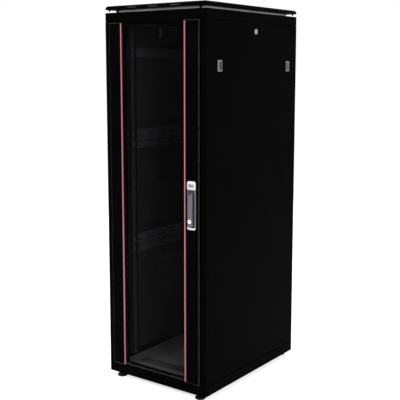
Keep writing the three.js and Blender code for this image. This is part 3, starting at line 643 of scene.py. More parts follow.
def rolled(node_name, segments=3):
    """A merged, bevelled copy of a CAD node, which it replaces."""
    fold = FOLD.get(node_name, FOLD_ELSEWHERE)
    low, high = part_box(node_name)
    work = bmesh.new()
    work.from_mesh(nodes[node_name].data)
    bmesh.ops.remove_doubles(work, verts=work.verts, dist=1e-6)
    bmesh.ops.dissolve_limit(work, angle_limit=math.radians(1.0), verts=work.verts, edges=work.edges)
    weight = work.edges.layers.float.new("bevel_weight_edge")
    for edge in work.edges:
        if len(edge.link_faces) == 2 and edge.calc_face_angle(0.0) > SHARP:
            outer = on_limits((edge.verts[0].co + edge.verts[1].co) / 2, low, high) > 1
            edge[weight] = 1.0 if outer else CUT_EDGE / fold
    for face in work.faces:
        face.smooth = True
    mesh = bpy.data.meshes.new(node_name + "_rolled")
    work.to_mesh(mesh)
    work.free()
    piece = bpy.data.objects.new(node_name + "_rolled", mesh)
    bpy.context.scene.collection.objects.link(piece)
    bevel = piece.modifiers.new("rolled_edges", "BEVEL")
    bevel.width = fold
    bevel.segments = segments
    bevel.limit_method = "WEIGHT"
    flatten = piece.modifiers.new("true_flats", "WEIGHTED_NORMAL")
    flatten.weight = 100
    slot = slot_of[node_name]
    words = node_name.split("_")
    own_coat = COAT_OF.get(words[0]) or COAT_OF.get(words[-1]) or FINISHES[slot]
    fit_out(piece, body_of[node_name], slot, own_coat, node_name)
    # The doors' bevelled faces take the lighter coat, a painted highlight along each fold.
    if node_name in DOORS:
        piece.data.materials.append(HIGHLIGHT_COAT)
        bevel.material = 1
    if node_name.endswith("_panel") and node_name not in DOORS:
        paint_inside(piece)
    return piece


FOLDED = ("base_frame", "top_frame", "roof_deck", "floor_plate", *DOORS, "left_panel", "right_panel")
SMALL_STEEL = ("_lock_cam", "_handle_spindle", "_hinge_upper", "_hinge_lower")
SHEETS = [*FOLDED, *sorted(name for name in nodes if name.startswith(("post_", "brace_", "rail_")))]
SHEETS += sorted(name for name in nodes if name.endswith(SMALL_STEEL))
for node_name in SHEETS:
    rolled(node_name, 1 if node_name.startswith("rail_") else 3)
print("rolled sheets:", len(SHEETS))

# %% [markdown]
# ## The roof lid
#
# The lid floats over the roof on spacers so that warm air can leave all round. It is pressed from one
# sheet: a flat top that rolls over a wide soft edge into a low side wall, and an open tray below. A cube
# with a bevel could do it, but a row of outlines is better here, because the corner radius in plan and the
# roll of the edge are two different curves.

# %% Lid
LID_CORNER = 0.012
LID_ROLL_WIDTH = 0.02
LID_ROLL_HEIGHT = 0.0125
LID_SHEET = 0.0012
LID_MOUTH = 0.15
LID_MIDDLE = 0.28


def lid_shell():
    """Outlines from the hollow's ceiling, out over the tray's lip, up the wall and over a quarter ellipse."""
    low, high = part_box("roof_lid")
    bottom, top = low[2], high[2]
    roll = quarter(1.0, 8)
    over = [(LID_ROLL_WIDTH * i, top - LID_ROLL_HEIGHT * (1 - r)) for i, r in roll]
    under = [(LID_SHEET + i, z - LID_SHEET) for i, z in over[::-1]]
    lip = [(LID_SHEET, bottom + LID_SHEET), (LID_MOUTH, bottom + LID_SHEET), (LID_MOUTH, bottom)]
    edge = [(0.0012, bottom), (0.0003, bottom + 0.0004), (0.0, bottom + 0.0014)]
    rows = [(LID_MIDDLE, top - LID_SHEET), *under, *lip, *edge, *over, (LID_MIDDLE, top)]
    width, depth = high[0] - low[0], high[1] - low[1]
    return capped([stand(inset_outline(width, depth, LID_CORNER, i), "z", (0.0, 0.0), z) for i, z in rows])


lid = new_piece("roof_lid_pressed", lid_shell())
shade(lid, 40.0)
fit_out(lid, "cabinet", "black_steel", FINISHES["black_steel"], "roof_lid")
print("lid:", len(lid.data.polygons), "faces")

# %% [markdown]
# ## What fills the gap under the lid
#
# Looked at from the front, the gap is not black: a pleated filter stands a few centimetres inside it and
# keeps dust out. Its pale colour is painted light that stands in for the light seen through the gap. It is
# a band that runs round a rounded rectangle and zigzags across its own path. The band is set back, so the
# gap stays clear at the corners. Four spacers hold the lid, and four bolt ends hang from it.

# %% Filter, spacers and bolt ends
FILTER_INSET = 0.04
FILTER_PITCH = 0.006
FILTER_DEPTH = 0.0016
FILTER_THICKNESS = 0.0008
deck_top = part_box("roof_deck")[1][2]
lid_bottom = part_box("roof_lid")[0][2]


def walk(outline, count):
    """Points at even steps along a closed outline, and the outward normals there."""
    closed = np.vstack([outline, outline[:1]])
    length = np.concatenate([[0.0], np.cumsum(np.hypot(*np.diff(closed, axis=0).T))])
    step = np.arange(count) * length[-1] / count
    points = np.stack([np.interp(step, length, closed[:, i]) for i in (0, 1)], axis=-1)
    ahead = np.roll(points, -1, axis=0) - np.roll(points, 1, axis=0)
    normals = np.stack([ahead[:, 1], -ahead[:, 0]], axis=-1)
    return points, normals / np.linalg.norm(normals, axis=1, keepdims=True)


def filter_shell():
    """A band on a rounded rectangle whose path steps outwards and inwards by turns, once each half pitch."""
    low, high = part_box("roof_deck")
    width, depth = (high[i] - low[i] - 2 * FILTER_INSET for i in (0, 1))
    count = 2 * int((width + depth) / FILTER_PITCH * 2)
    points, normals = walk(rounded(width, depth, 0.012, 13), count)
    zigzag = FILTER_DEPTH * np.where(np.arange(count) % 2 == 0, 0.5, -0.5)[:, None]
    outside = points + normals * (zigzag + FILTER_THICKNESS / 2)
    inside = points + normals * (zigzag - FILTER_THICKNESS / 2)
    z0, z1 = deck_top + 0.0002, lid_bottom - 0.0002
    loops = [(outside, z0), (outside, z1), (inside, z1), (inside, z0)]
    return hooped([np.column_stack([path, np.full(count, z)]) for path, z in loops])


filter_band = new_piece("roof_filter", filter_shell())
fit_out(filter_band, "cabinet", "white_plate", FILTER_PAINTED_LIGHT)


def spacer_shell(centre, low, high):
    """A turned stud with a flange at each end and a waist between."""
    flange, waist = 0.007, 0.0046
    profile = [
        (0.0008, low), (flange - 0.0005, low), (flange, low + 0.0005), (flange, low + 0.002),
        (waist, low + 0.0032), (waist, high - 0.0032),
        (flange, high - 0.002), (flange, high - 0.0005), (flange - 0.0005, high), (0.0008, high),
    ]
    return turned(profile, "z", centre, 32)


for corner in ("front_left", "front_right", "rear_left", "rear_right"):
    node_name = "lid_spacer_" + corner
    low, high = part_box(node_name)
    spacer = new_piece(node_name + "_turned", spacer_shell(middle_of(low, high, 0, 1), low[2], high[2]))
    shade(spacer)
    fit_out(spacer, "cabinet", "black_plastic", FINISHES["black_plastic"], node_name)

BOLT_END_X = 0.283
BOLT_END_Y = 0.386
bolt_profile = [
    (0.0008, lid_bottom + 0.0005), (0.0045, lid_bottom + 0.0005), (0.0045, lid_bottom - 0.004),
    (0.0036, lid_bottom - 0.0062), (0.0018, lid_bottom - 0.0075), (0.0004, lid_bottom - 0.0078),
]
bolt_ends = new_piece(
    "lid_bolt_ends",
    *[turned(bolt_profile, "z", (x * BOLT_END_X, y * BOLT_END_Y), 20) for x in (-1, 1) for y in (-1, 1)],
)
shade(bolt_ends)
fit_out(bolt_ends, "cabinet", "black_plastic", FINISHES["black_plastic"])
print("filter pleats:", len(filter_band.data.vertices) // 8)

# %% [markdown]
# ## Louvres on the lid's edge
#
# Three groups of short upright ribs are pressed into the front and the rear edge of the lid. They are so
# small that each is a plain rounded stick, half sunk into the wall, and one mesh holds them all.

# %% Lid ribs
RIB_GROUPS = (-0.13, 0.0, 0.13)
RIBS_A_GROUP = 7
RIB_PITCH = 0.008
RIB_RADIUS = 0.0011
RIB_LOW = 0.0035
RIB_HIGH = 0.0095


def rib_shells():
    """Upright sticks on both long walls of the lid, their ends drawn in."""
    low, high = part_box("roof_lid")
    steps = (np.arange(RIBS_A_GROUP) - (RIBS_A_GROUP - 1) / 2) * RIB_PITCH
    z0, z1 = low[2] + RIB_LOW, low[2] + RIB_HIGH
    profile = [(0.0002, z0), (RIB_RADIUS, z0 + 0.0012), (RIB_RADIUS, z1 - 0.0012), (0.0002, z1)]
    places = [(group + step, y) for group in RIB_GROUPS for step in steps for y in (low[1], high[1])]
    return [turned(profile, "z", place, 8) for place in places]


ribs = new_piece("lid_ribs", *rib_shells())
shade(ribs, 60.0)
# The ribs take the lighter grey coat, a painted highlight on their rounded faces.
fit_out(ribs, "cabinet", "black_steel", HIGHLIGHT_COAT)
print("lid ribs:", len(rib_shells()))

# %% [markdown]
# ## Brush strips in the cut-outs
#
# Cables enter through cut-outs in the roof and the floor. Two rows of stiff grey bristles meet in the
# middle of each one, so that it lets a cable through but keeps dust out. A row is a steel channel with
# tufts of bristles: thin slabs, each a little longer or shorter than the next, with their tips drawn
# together. Hair could be grown there, but slabs cost little and still look like tufts.

# %% Brushes
TUFT_PITCH = 0.0035
TUFT_HALF_WIDTH = 0.0016
TUFT_HALF_THICKNESS = 0.0009
TIP_SHARE = 0.55
RAGGED = 0.0025
CROSSING = 0.0015
CHANNEL_HALF = (0.005, 0.0022)


def brush_shells(half_x, y_near, y_far, z):
    """Channels along both long sides of a cut-out, and tufts from each that reach just past its middle."""
    centre_y = (y_near + y_far) / 2
    reach = (y_far - y_near) / 2 + CHANNEL_HALF[0]
    x = np.arange(-half_x + TUFT_PITCH / 2, half_x, TUFT_PITCH)
    ragged = RAGGED * np.sin(x * 4100.0) * np.cos(x * 1700.0)
    shells = []
    for side in (-1, 1):
        edge = centre_y + side * reach
        shells.append(boxes([(0.0, edge, z)], [(half_x + 0.006, *CHANNEL_HALF)]))
        length = reach + CROSSING + ragged * side
        same = np.ones(len(x))
        centres = np.stack([x, edge - side * length / 2, z * same], axis=-1)
        halves = np.stack([TUFT_HALF_WIDTH * same, length / 2, TUFT_HALF_THICKNESS * same], axis=-1)
        tufts, faces = boxes(centres, halves)
        tip = np.abs(tufts[:, 1] - edge) > reach / 2
        middle = np.repeat(x, len(BOX_SIGNS))
        tufts[:, 0] = np.where(tip, middle + TIP_SHARE * (tufts[:, 0] - middle), tufts[:, 0])
        shells.append((tufts, faces))
    return shells


UNDER_SHEET = CHANNEL_HALF[1] + 0.0003
CUT_OUTS = [
    ("floor_plate", 0.175, -0.32, -0.25),
    ("floor_plate", 0.175, 0.2, 0.32),
    ("roof_deck", 0.15, 0.215, 0.315),
]
brush_parts = []
for sheet, half_x, y_near, y_far in CUT_OUTS:
    brush_parts += brush_shells(half_x, y_near, y_far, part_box(sheet)[0][2] - UNDER_SHEET)
brushes = new_piece("cable_brushes", *brush_parts)
fit_out(brushes, "cabinet", "black_plastic", BRISTLE)
print("brush faces:", len(brushes.data.polygons))

# %% [markdown]
# ## The glass door's pane, strips and bead
#
# The pane is ground along its edges, which is a small flat arris all round. Over each long edge lies a
# coloured plastic strip with a soft crown, rounded off at both ends. It could be a scaled cube, but a crown
# needs a section: a low arch that is swept up the door and shrinks near the ends. A slim black bead closes
# the pane at the bottom.

# %% Pane and strips
ARRIS = 0.0007
glass_low, glass_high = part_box("front_door_glass")


def pane_shell():
    """Four outlines across the thickness: the two faces lie inside the edge by the width of the arris."""
    width, height = glass_high[0] - glass_low[0], glass_high[2] - glass_low[2]
    centre = middle_of(glass_low, glass_high, 0, 2)
    front, back = glass_low[1], glass_high[1]
    rows = [(ARRIS, front), (0.0, front + ARRIS), (0.0, back - ARRIS), (ARRIS, back)]
    return capped([stand(inset_outline(width, height, 0.003, i), "y", centre, y) for i, y in rows])


pane = new_piece("front_door_pane", pane_shell())
fit_out(pane, "front_door", "smoked_glass", FINISHES["smoked_glass"], "front_door_glass")


def crowned_bar(low, high, along, points=17, stations=9, end=0.004):
    """A bar with a flat back and an arched front (-Y), along X or Z; its section shrinks as a quarter circle
    at both ends: width and height times sqrt(1 - t^2), where t runs from 0 to 1 over the end."""
    u_axis = 0 if along == 2 else 2
    half = (high[u_axis] - low[u_axis]) / 2
    (middle,) = middle_of(low, high, u_axis)
    rise = high[1] - low[1]
    u = np.linspace(-1.0, 1.0, points)
    arch = rise * (1 - np.abs(u) ** 3.2)
    t = np.linspace(1.0, 0.0, stations)
    near = end * (1 - t)
    place = np.concatenate([low[along] + near, high[along] - near[::-1]])
    scale = np.sqrt(1 - np.concatenate([t, t[::-1]]) ** 2 * 0.96)
    loops = np.zeros((len(place), points, 3))
    loops[:, :, u_axis] = middle + half * u[None, :] * scale[:, None]
    loops[:, :, 1] = high[1] - arch[None, :] * scale[:, None]
    loops[:, :, along] = place[:, None]
    return capped(loops)


for side in ("left", "right"):
    node_name = "front_door_strip_" + side
    low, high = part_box(node_name)
    strip = new_piece(node_name + "_crowned", crowned_bar(low, high, 2))
    shade(strip)
    fit_out(strip, "front_door", "red_trim", FINISHES["red_trim"], node_name)

left_strip, right_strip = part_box("front_door_strip_left"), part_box("front_door_strip_right")
bead_low = (left_strip[1][0] + 0.0005, glass_low[1] - 0.002, glass_low[2] + 0.005)
bead_high = (right_strip[0][0] - 0.0005, glass_low[1] - 0.0001, glass_low[2] + 0.0115)
bead = new_piece("front_door_bead", crowned_bar(bead_low, bead_high, 0, 11, 5, 0.001))
shade(bead)
fit_out(bead, "front_door", "black_plastic", FINISHES["black_plastic"])

# %% [markdown]
# ## Door seals
#
# A closed door lands on soft rubber, not on steel. The seal is a hollow D glued to the stop of each post.
# Only its outer curve shows, so the section is a half circle on a flat foot, swept straight up.

# %% Seals
SEAL_HALF = 0.005
SEAL_DEPTH = 0.0062
SEAL_END = 0.006


def seal_shell(x, y, side):
    """A D-shaped section, half width times cos and depth times sin of an angle from 0 to 180 degrees."""
    angle = np.linspace(0.0, np.pi, 13)
    low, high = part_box("post_front_left")
    heights = np.array([low[2] + SEAL_END, high[2] - SEAL_END])
    section = np.stack([x + SEAL_HALF * np.cos(angle), y + side * SEAL_DEPTH * np.sin(angle)], axis=-1)
    return capped([np.column_stack([section, np.full(len(angle), z)]) for z in heights])


POST_STOP_X = 0.261
POST_STOP_Y = 0.372
for end, side in (("front", -1), ("rear", 1)):
    seals = [seal_shell(x * POST_STOP_X, side * (POST_STOP_Y + 0.0001), side) for x in (-1, 1)]
    seal = new_piece(end + "_door_seal", *seals)
    shade(seal)
    fit_out(seal, "cabinet", "black_plastic", FINISHES["black_plastic"])

PANEL_SEAL_X = 0.2815
PANEL_SEAL_Z = 1.7705
PANEL_SEAL_DROP = 0.011
PANEL_SEAL_WIDTH = 0.0028


def panel_seal_shell(side):
    """A flat strip with a rounded section under the top frame, standing behind the panel's upper edge."""
    half_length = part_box("post_rear_right")[1][1] - 0.004
    outline = rounded(PANEL_SEAL_WIDTH, PANEL_SEAL_DROP, 0.0012)
    centre = (side * PANEL_SEAL_X, PANEL_SEAL_Z - PANEL_SEAL_DROP / 2)
    return capped([stand(outline, "y", centre, y) for y in (-half_length, half_length)])


panel_seals = new_piece("side_panel_seals", panel_seal_shell(-1), panel_seal_shell(1))
shade(panel_seals)
fit_out(panel_seals, "cabinet", "black_plastic", FINISHES["black_plastic"])

# %% [markdown]
# ## The swing handle
#
# Each door has the same lock: a moulded housing with a raised rim and a sunk middle, a white plate at its
# top, a lever that lies in the sunk middle, and a key lock in the lever's foot. The housing is a hoop of
# outlines that runs up its side, over the rim, down into the recess and back out through the spindle hole,
# so the hole is a real one. The lever is a stack of rounded sections whose width and depth follow its side
# views. The rear handle is the same set of shells, turned half round about the upright axis.

# %% Handle housing and plate
housing_low, housing_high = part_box("front_handle_housing")
lever_low, lever_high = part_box("front_handle_lever")
key_low, key_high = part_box("front_key_barrel")
HANDLE_X = (housing_low[0] + housing_high[0]) / 2
HOUSING_FACE = housing_low[1]
HOUSING_BACK = housing_high[1]
SPINDLE_Z = 0.98
SPINDLE_HOLE = 0.0106
HOUSING_CORNER = 0.009
HOUSING_ROLL = 0.0016
RIM = 0.0042
RECESS = 0.0036
SCOOP = 0.0028
SCOOP_TOP = 0.9
SCOOP_RUN = 0.05
RECESS_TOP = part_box("front_handle_plate")[0][2] - 0.0035


def housing_shell():
    """Outlines from the back edge over the rim into the recess, then a circle through to the back."""
    width, height = housing_high[0] - housing_low[0], housing_high[2] - housing_low[2]
    centre = middle_of(housing_low, housing_high, 0, 2)
    loops = [stand(inset_outline(width, height, HOUSING_CORNER, 0.0), "y", centre, HOUSING_BACK)]
    for inset, rise in quarter(HOUSING_ROLL):
        outline = inset_outline(width, height, HOUSING_CORNER, inset)
        loops.append(stand(outline, "y", centre, HOUSING_FACE + HOUSING_ROLL - rise))
    sunk_height = RECESS_TOP - housing_low[2] - RIM
    sunk_centre = (HANDLE_X, housing_low[2] + RIM + sunk_height / 2)
    sunk_width = width - 2 * RIM
    wall = ((0.0, 0.0), (0.0004, 0.0003), (0.0006, 0.001), (0.0012, 0.0028), (0.002, RECESS))
    for inset, depth in wall:
        outline = inset_outline(sunk_width, sunk_height, 0.006, inset)
        loop = stand(outline, "y", sunk_centre, HOUSING_FACE + depth)
        low_part = np.clip((SCOOP_TOP - loop[:, 2]) / SCOOP_RUN, 0.0, 1.0)
        loop[:, 1] += SCOOP * low_part * depth / RECESS
        loops.append(loop)
    floor = loops[-1]
    angle = np.arctan2(floor[:, 2] - SPINDLE_Z, floor[:, 0] - HANDLE_X)
    circle = SPINDLE_HOLE * np.stack([np.cos(angle), np.sin(angle)], axis=-1)
    loops.append(stand(circle, "y", (HANDLE_X, SPINDLE_Z), HOUSING_FACE + RECESS))
    loops.append(stand(circle, "y", (HANDLE_X, SPINDLE_Z), HOUSING_BACK))
    return hooped(loops)


def cushion(low, high, radius, roll):
    """A slab facing -Y with round corners, whose front edge rolls over a quarter circle."""
    width, height = high[0] - low[0], high[2] - low[2]
    centre = middle_of(low, high, 0, 2)
    rows = [(0.0, high[1])] + [(inset, low[1] + roll - rise) for inset, rise in quarter(roll)]
    return capped([stand(inset_outline(width, height, radius, i), "y", centre, y) for i, y in rows])


plate_low, plate_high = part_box("front_handle_plate")
FIELD_MARGIN = (0.005, 0.0, 0.0095)
field_low = [plate_low[0] + FIELD_MARGIN[0], plate_low[1] - 0.0002, plate_low[2] + FIELD_MARGIN[2]]
field_high = [plate_high[0] - FIELD_MARGIN[0], plate_low[1] + 0.0004, plate_high[2] - FIELD_MARGIN[2] - 0.002]
LIP_HEIGHT = 0.0085
LIP_CORNER = 0.0085
LIP_SAG = 0.0025
LIP_CROWN = 0.0016
LIP_BACK = 0.0006
WRAP = 0.0004
WRAP_DEPTH = 0.005
PLATE_CORNERS = (0.0094, 0.0094, 0.0025, 0.0025)


def plate_shell():
    """The plate as a cap that wraps the housing's head: round at the top, nearly square where it ends."""
    low = (housing_low[0] - WRAP, plate_low[1], plate_low[2])
    high = (housing_high[0] + WRAP, HOUSING_FACE + WRAP_DEPTH, housing_high[2] + WRAP)
    return cushion(low, high, PLATE_CORNERS, 0.0009)


def highlight_lip_shell(points=25):
    """A crescent that wraps the housing's foot; its white is a painted highlight on the foot's curved rim.
    Its lower edge follows the corners, c - sqrt(c^2 - (c - s)^2) with s the distance from the side. Its upper
    edge rises towards the sides as a parabola, and its front is half an ellipse between the two."""
    half = (housing_high[0] - housing_low[0]) / 2 + WRAP
    u = np.linspace(-1.0, 1.0, points)
    from_side = np.clip((1 - np.abs(u)) * half, 0.0, LIP_CORNER)
    bottom = housing_low[2] - WRAP + LIP_CORNER - np.sqrt(LIP_CORNER**2 - (LIP_CORNER - from_side) ** 2)
    top = housing_low[2] + LIP_HEIGHT + LIP_SAG * u**2
    x = HANDLE_X + half * u
    across = np.linspace(0.0, 1.0, 9)[:, None]
    z = bottom + (np.maximum(top, bottom + 0.0004) - bottom) * across
    rise = LIP_CROWN * np.sqrt(np.clip(1 - (2 * across - 1) ** 2, 0.0, 1.0)) * np.ones_like(z)
    front = np.stack([np.broadcast_to(x, z.shape), HOUSING_FACE - 0.0001 - rise, z], axis=-1)
    back = front[::-1].copy()
    back[:, :, 1] = HOUSING_FACE + LIP_BACK + (WRAP_DEPTH - LIP_BACK) * (1 - across[::-1])
    strips = np.concatenate([front, back], axis=0)
    return capped(np.swapaxes(strips, 0, 1))


def paint_recess_shade(housing):
    """Gives the sunk faces of a housing a darker grey, painted shade in its recess."""
    housing.data.materials.append(RECESS_SHADE)
    for face in housing.data.polygons:
        depth = abs(HOUSING_FACE) - abs(face.center.y)
        across = abs(abs(face.center.x) - HANDLE_X)
        if depth > 0.0004 and across < (housing_high[0] - housing_low[0]) / 2 - RIM:
            face.material_index = 1


for prefix, turn in (("front", lambda shell: shell), ("rear", half_turned)):
    door = prefix + "_door"
    housing = new_piece(prefix + "_housing_moulded", turn(housing_shell()))
    shade(housing, 50.0)
    fit_out(housing, door, "housing_grey", FINISHES["housing_grey"], prefix + "_handle_housing")
    # The sunk middle is painted darker: painted shade in the recess.
    paint_recess_shade(housing)
    plate = new_piece(prefix + "_plate_moulded", turn(plate_shell()))
    shade(plate)
    fit_out(plate, door, "white_plate", FINISHES["white_plate"], prefix + "_handle_plate")
    field = new_piece(prefix + "_plate_field", turn(cushion(field_low, field_high, 0.001, 0.0002)))
    fit_out(field, door, "white_plate", LABEL_FIELD)
    # The white lip on the housing's foot is a painted highlight on its curved rim.
    lip = new_piece(prefix + "_housing_lip_highlight", turn(highlight_lip_shell()))
    shade(lip, 60.0)
    fit_out(lip, door, "white_plate", FINISHES["white_plate"])

# %% Lever and key
LEVER_SQUARENESS = 4.5
LEVER_CROWN = 0.0008


def lever_shell(stations=40, points=40):
    """Rounded sections up the lever: superellipses |u|^4.5 + |v|^4.5 = 1. Their half width and depth are
    quarter circles at the foot and the head, and shrink by 0.05 sin^2 at the waist."""
    bottom, top = lever_low[2], lever_high[2]
    half_width = (lever_high[0] - lever_low[0]) / 2
    half_depth = (lever_high[1] - lever_low[1]) / 2
    ease = (1 - np.cos(np.linspace(0.0, np.pi, stations))) / 2
    z = bottom + (top - bottom) * ease
    foot, head = 0.009, half_depth
    up = np.clip(z - bottom, 0.0, foot)
    down = np.clip(top - z, 0.0, head)
    foot_round = np.sqrt(np.clip(1 - ((foot - up) / foot) ** 2, 0.0025, 1.0))
    head_round = np.sqrt(np.clip(1 - ((head - down) / head) ** 2, 0.0025, 1.0))
    waist = 1 - 0.05 * np.sin(np.pi * (z - bottom) / (top - bottom)) ** 2
    a = half_width * waist * (0.35 + 0.65 * foot_round) * (0.8 + 0.2 * head_round)
    b = half_depth * (0.3 + 0.7 * foot_round) * head_round
    angle = np.arange(points) * 2 * np.pi / points
    power = 2 / LEVER_SQUARENESS
    u = np.sign(np.cos(angle)) * np.abs(np.cos(angle)) ** power
    v = np.sign(np.sin(angle)) * np.abs(np.sin(angle)) ** power
    centre_y = (lever_low[1] + lever_high[1]) / 2 + half_depth - b - half_depth * (1 - head_round)
    crown = LEVER_CROWN * (1 - u**2)[None, :] * (v < 0)
    x = HANDLE_X + a[:, None] * u
    y = centre_y[:, None] + b[:, None] * v + LEVER_CROWN * (v < 0) - crown
    return capped(np.stack([x, y, np.broadcast_to(z[:, None], x.shape)], axis=-1))


def key_shells():
    """A turned barrel with a rolled edge and a shallow ring, and the dark slot of the key."""
    front, back = key_low[1], key_high[1]
    centre = middle_of(key_low, key_high, 0, 2)
    radius = (key_high[0] - key_low[0]) / 2
    profile = [
        (0.0008, back), (radius, back), (radius, front + 0.0008), (radius - 0.0003, front + 0.0002),
        (radius - 0.0008, front), (radius - 0.0028, front), (radius - 0.0031, front + 0.0004),
        (radius - 0.0035, front + 0.0004), (radius - 0.0038, front + 0.0001), (0.0008, front + 0.0001),
    ]
    slot_low = (centre[0] - 0.0009, front + 0.00003, centre[1] - 0.0042)
    slot_high = (centre[0] + 0.0009, front + 0.0006, centre[1] + 0.0042)
    return turned(profile, "y", centre, 40), cushion(slot_low, slot_high, 0.0008, 0.0002)


for prefix, turn in (("front", lambda shell: shell), ("rear", half_turned)):
    lever = new_piece(prefix + "_lever_shaped", turn(lever_shell()))
    shade(lever, 60.0)
    fit_out(lever, prefix + "_lever", "handle_grey", FINISHES["handle_grey"], prefix + "_handle_lever")
    barrel, slot = key_shells()
    key = new_piece(prefix + "_key_turned", turn(barrel))
    shade(key)
    fit_out(key, prefix + "_key", "bright_metal", FINISHES["bright_metal"], prefix + "_key_barrel")
    keyhole = new_piece(prefix + "_keyhole", turn(slot))
    fit_out(keyhole, prefix + "_key", "black_plastic", FINISHES["black_plastic"])

# %% [markdown]
# ## Side panel latches and locks
#
# Two slide latches hold the top of each side panel: a grey bezel with a thumb piece that slides towards the
# middle of the panel. The thumb piece has a dished face so that a finger holds it. Above them is a cam lock
# with a coin slot. Bezels are hoops of outlines, the locks are turned, and the left side mirrors the right.

# %% Latches
LATCH_ROLL = 0.0008
BEZEL_CORNER = 0.003
THUMB_CORNER = 0.0016
THUMB_DISH = ((0.002, 0.0), (0.0026, 0.0006), (0.0036, 0.0014), (0.0055, 0.0016))
LATCH_OPENING = (0.023, 0.034)


def bezel_shell(low, high, opening_low, opening_high):
    """A hoop from the outer back edge over the face and down the inner wall."""
    centre, size = middle_of(low, high, 1, 2), (high[1] - low[1], high[2] - low[2])
    hole = (opening_high[0] - opening_low[0], opening_high[1] - opening_low[1])
    hole_centre = middle_of(opening_low, opening_high, 0, 1)
    face, back = high[0], low[0]
    edge = face - LATCH_ROLL
    rows = [(size, BEZEL_CORNER, centre, 0.0, back)]
    rows += [(size, BEZEL_CORNER, centre, inset, edge + rise) for inset, rise in quarter(LATCH_ROLL)]
    rows += [(hole, THUMB_CORNER, hole_centre, -i, edge + rise) for i, rise in quarter(LATCH_ROLL)[::-1]]
    rows.append((hole, THUMB_CORNER, hole_centre, 0.0, back))
    return hooped([stand(inset_outline(*wide, corner, i), "x", at, x) for wide, corner, at, i, x in rows])


def thumb_shell(low, high):
    """A thumb piece facing +X: its edge rolls over, and its face sinks into a shallow dish with fine ribs."""
    width, height = high[1] - low[1], high[2] - low[2]
    centre = middle_of(low, high, 1, 2)
    rows = [(0.0, low[0])]
    rows += [(inset, high[0] - LATCH_ROLL + rise) for inset, rise in quarter(LATCH_ROLL)]
    rows += [(inset, high[0] - depth) for inset, depth in THUMB_DISH]
    return capped([stand(inset_outline(width, height, THUMB_CORNER, i), "x", centre, x) for i, x in rows])


THUMB_WIDTH = 0.013
TONGUE = {"inner": 0.293, "outer": 0.297, "half": 0.011, "reach": 0.014}
panel_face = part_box("right_panel")[1][0]
for name, end in (("front", -1), ("rear", 1)):
    low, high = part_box(f"right_latch_{name}_bezel")
    thumb_low, thumb_high = (list(corner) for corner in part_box(f"right_latch_{name}_slider"))
    middle = middle_of(low, high, 1, 2)
    opening_low = [middle[i] - LATCH_OPENING[i] / 2 for i in (0, 1)]
    opening_high = [middle[i] + LATCH_OPENING[i] / 2 for i in (0, 1)]
    outer = middle[0] + end * (LATCH_OPENING[0] / 2 - 0.0007)
    inner = outer - end * THUMB_WIDTH
    thumb_low[0] = panel_face - 0.005
    thumb_low[1], thumb_high[1] = min(outer, inner), max(outer, inner)
    tongue_end = outer + end * TONGUE["reach"]
    tongue = boxes(
        [((TONGUE["inner"] + TONGUE["outer"]) / 2, (tongue_end + inner) / 2, middle[1])],
        [((TONGUE["outer"] - TONGUE["inner"]) / 2, abs(tongue_end - inner) / 2, TONGUE["half"])],
    )
    ribs = boxes(
        [(thumb_high[0] - 0.0012, (outer + inner) / 2, middle[1] + 0.003 * i) for i in range(-3, 4)],
        [(0.0007, 0.0035, 0.0005)] * 7,
    )
    bezel_made = bezel_shell(low, high, opening_low, opening_high)
    thumb_made = (thumb_shell(thumb_low, thumb_high), tongue, ribs)
    for prefix, side in (("right", 1), ("left", -1)):
        latch = f"{prefix}_latch_{name}"
        bezel = new_piece(f"{prefix}_{name}_bezel_moulded", mirrored(bezel_made, side))
        shade(bezel, 50.0)
        fit_out(bezel, prefix + "_side_panel", "latch_grey", FINISHES["latch_grey"], latch + "_bezel")
        thumb = new_piece(f"{prefix}_{name}_thumb_moulded", *[mirrored(shell, side) for shell in thumb_made])
        shade(thumb, 50.0)
        fit_out(thumb, latch, "latch_grey", FINISHES["latch_grey"], latch + "_slider")
print("latches at height", round(middle[1], 3))

# %% Panel locks
def lock_shells():
    """A turned barrel: flange with a rolled edge, sunk face, body, and the cam that stands up inside."""
    low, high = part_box("right_panel_lock")
    centre = ((low[1] + high[1]) / 2, low[2] + 0.013)
    face, back = high[0], low[0]
    flange, barrel = 0.013, 0.011
    profile = [
        (0.0008, back), (barrel, back), (barrel, panel_face + 0.0003), (flange, panel_face + 0.0003),
        (flange, face - 0.0008), (flange - 0.0008, face), (barrel - 0.001, face),
        (barrel - 0.0016, face - 0.0012), (0.0008, face - 0.0012),
    ]
    cam = boxes([(face - 0.0135, centre[0], centre[1] + 0.0165)], [(0.0015, 0.008, 0.0165)])
    return turned(profile, "x", centre, 48), cam, centre, face


barrel, cam, lock_centre, lock_face = lock_shells()
slot = boxes([(lock_face - 0.0012, lock_centre[0], lock_centre[1])], [(0.0003, 0.0012, 0.006)])
for prefix, side in (("right", 1), ("left", -1)):
    lock = new_piece(prefix + "_lock_turned", mirrored(barrel, side), mirrored(cam, side))
    shade(lock)
    fit_out(lock, prefix + "_lock", "bright_metal", DULL_NICKEL, prefix + "_panel_lock")
    coin_slot = new_piece(prefix + "_lock_slot", mirrored(slot, side))
    fit_out(coin_slot, prefix + "_lock", "black_plastic", FINISHES["black_plastic"])
print("lock centre:", [round(float(value), 3) for value in lock_centre])

# %% [markdown]
# ## Levelling feet
#
# Each foot is a ribbed pad, a hexagon for the spanner, and a threaded stud. The pad's radius is a circle
# with forty shallow waves. The hexagon is turned with six sides. The thread is a tube whose radius rises
# and falls with height minus turn, so that the crest climbs one pitch each time round.

# %% Feet
PITCH = 0.00175
PAD_RIBS = 40
PAD_WAVE = 0.0004
STUD_RADIUS = 0.006
STUD_FROM = 0.019


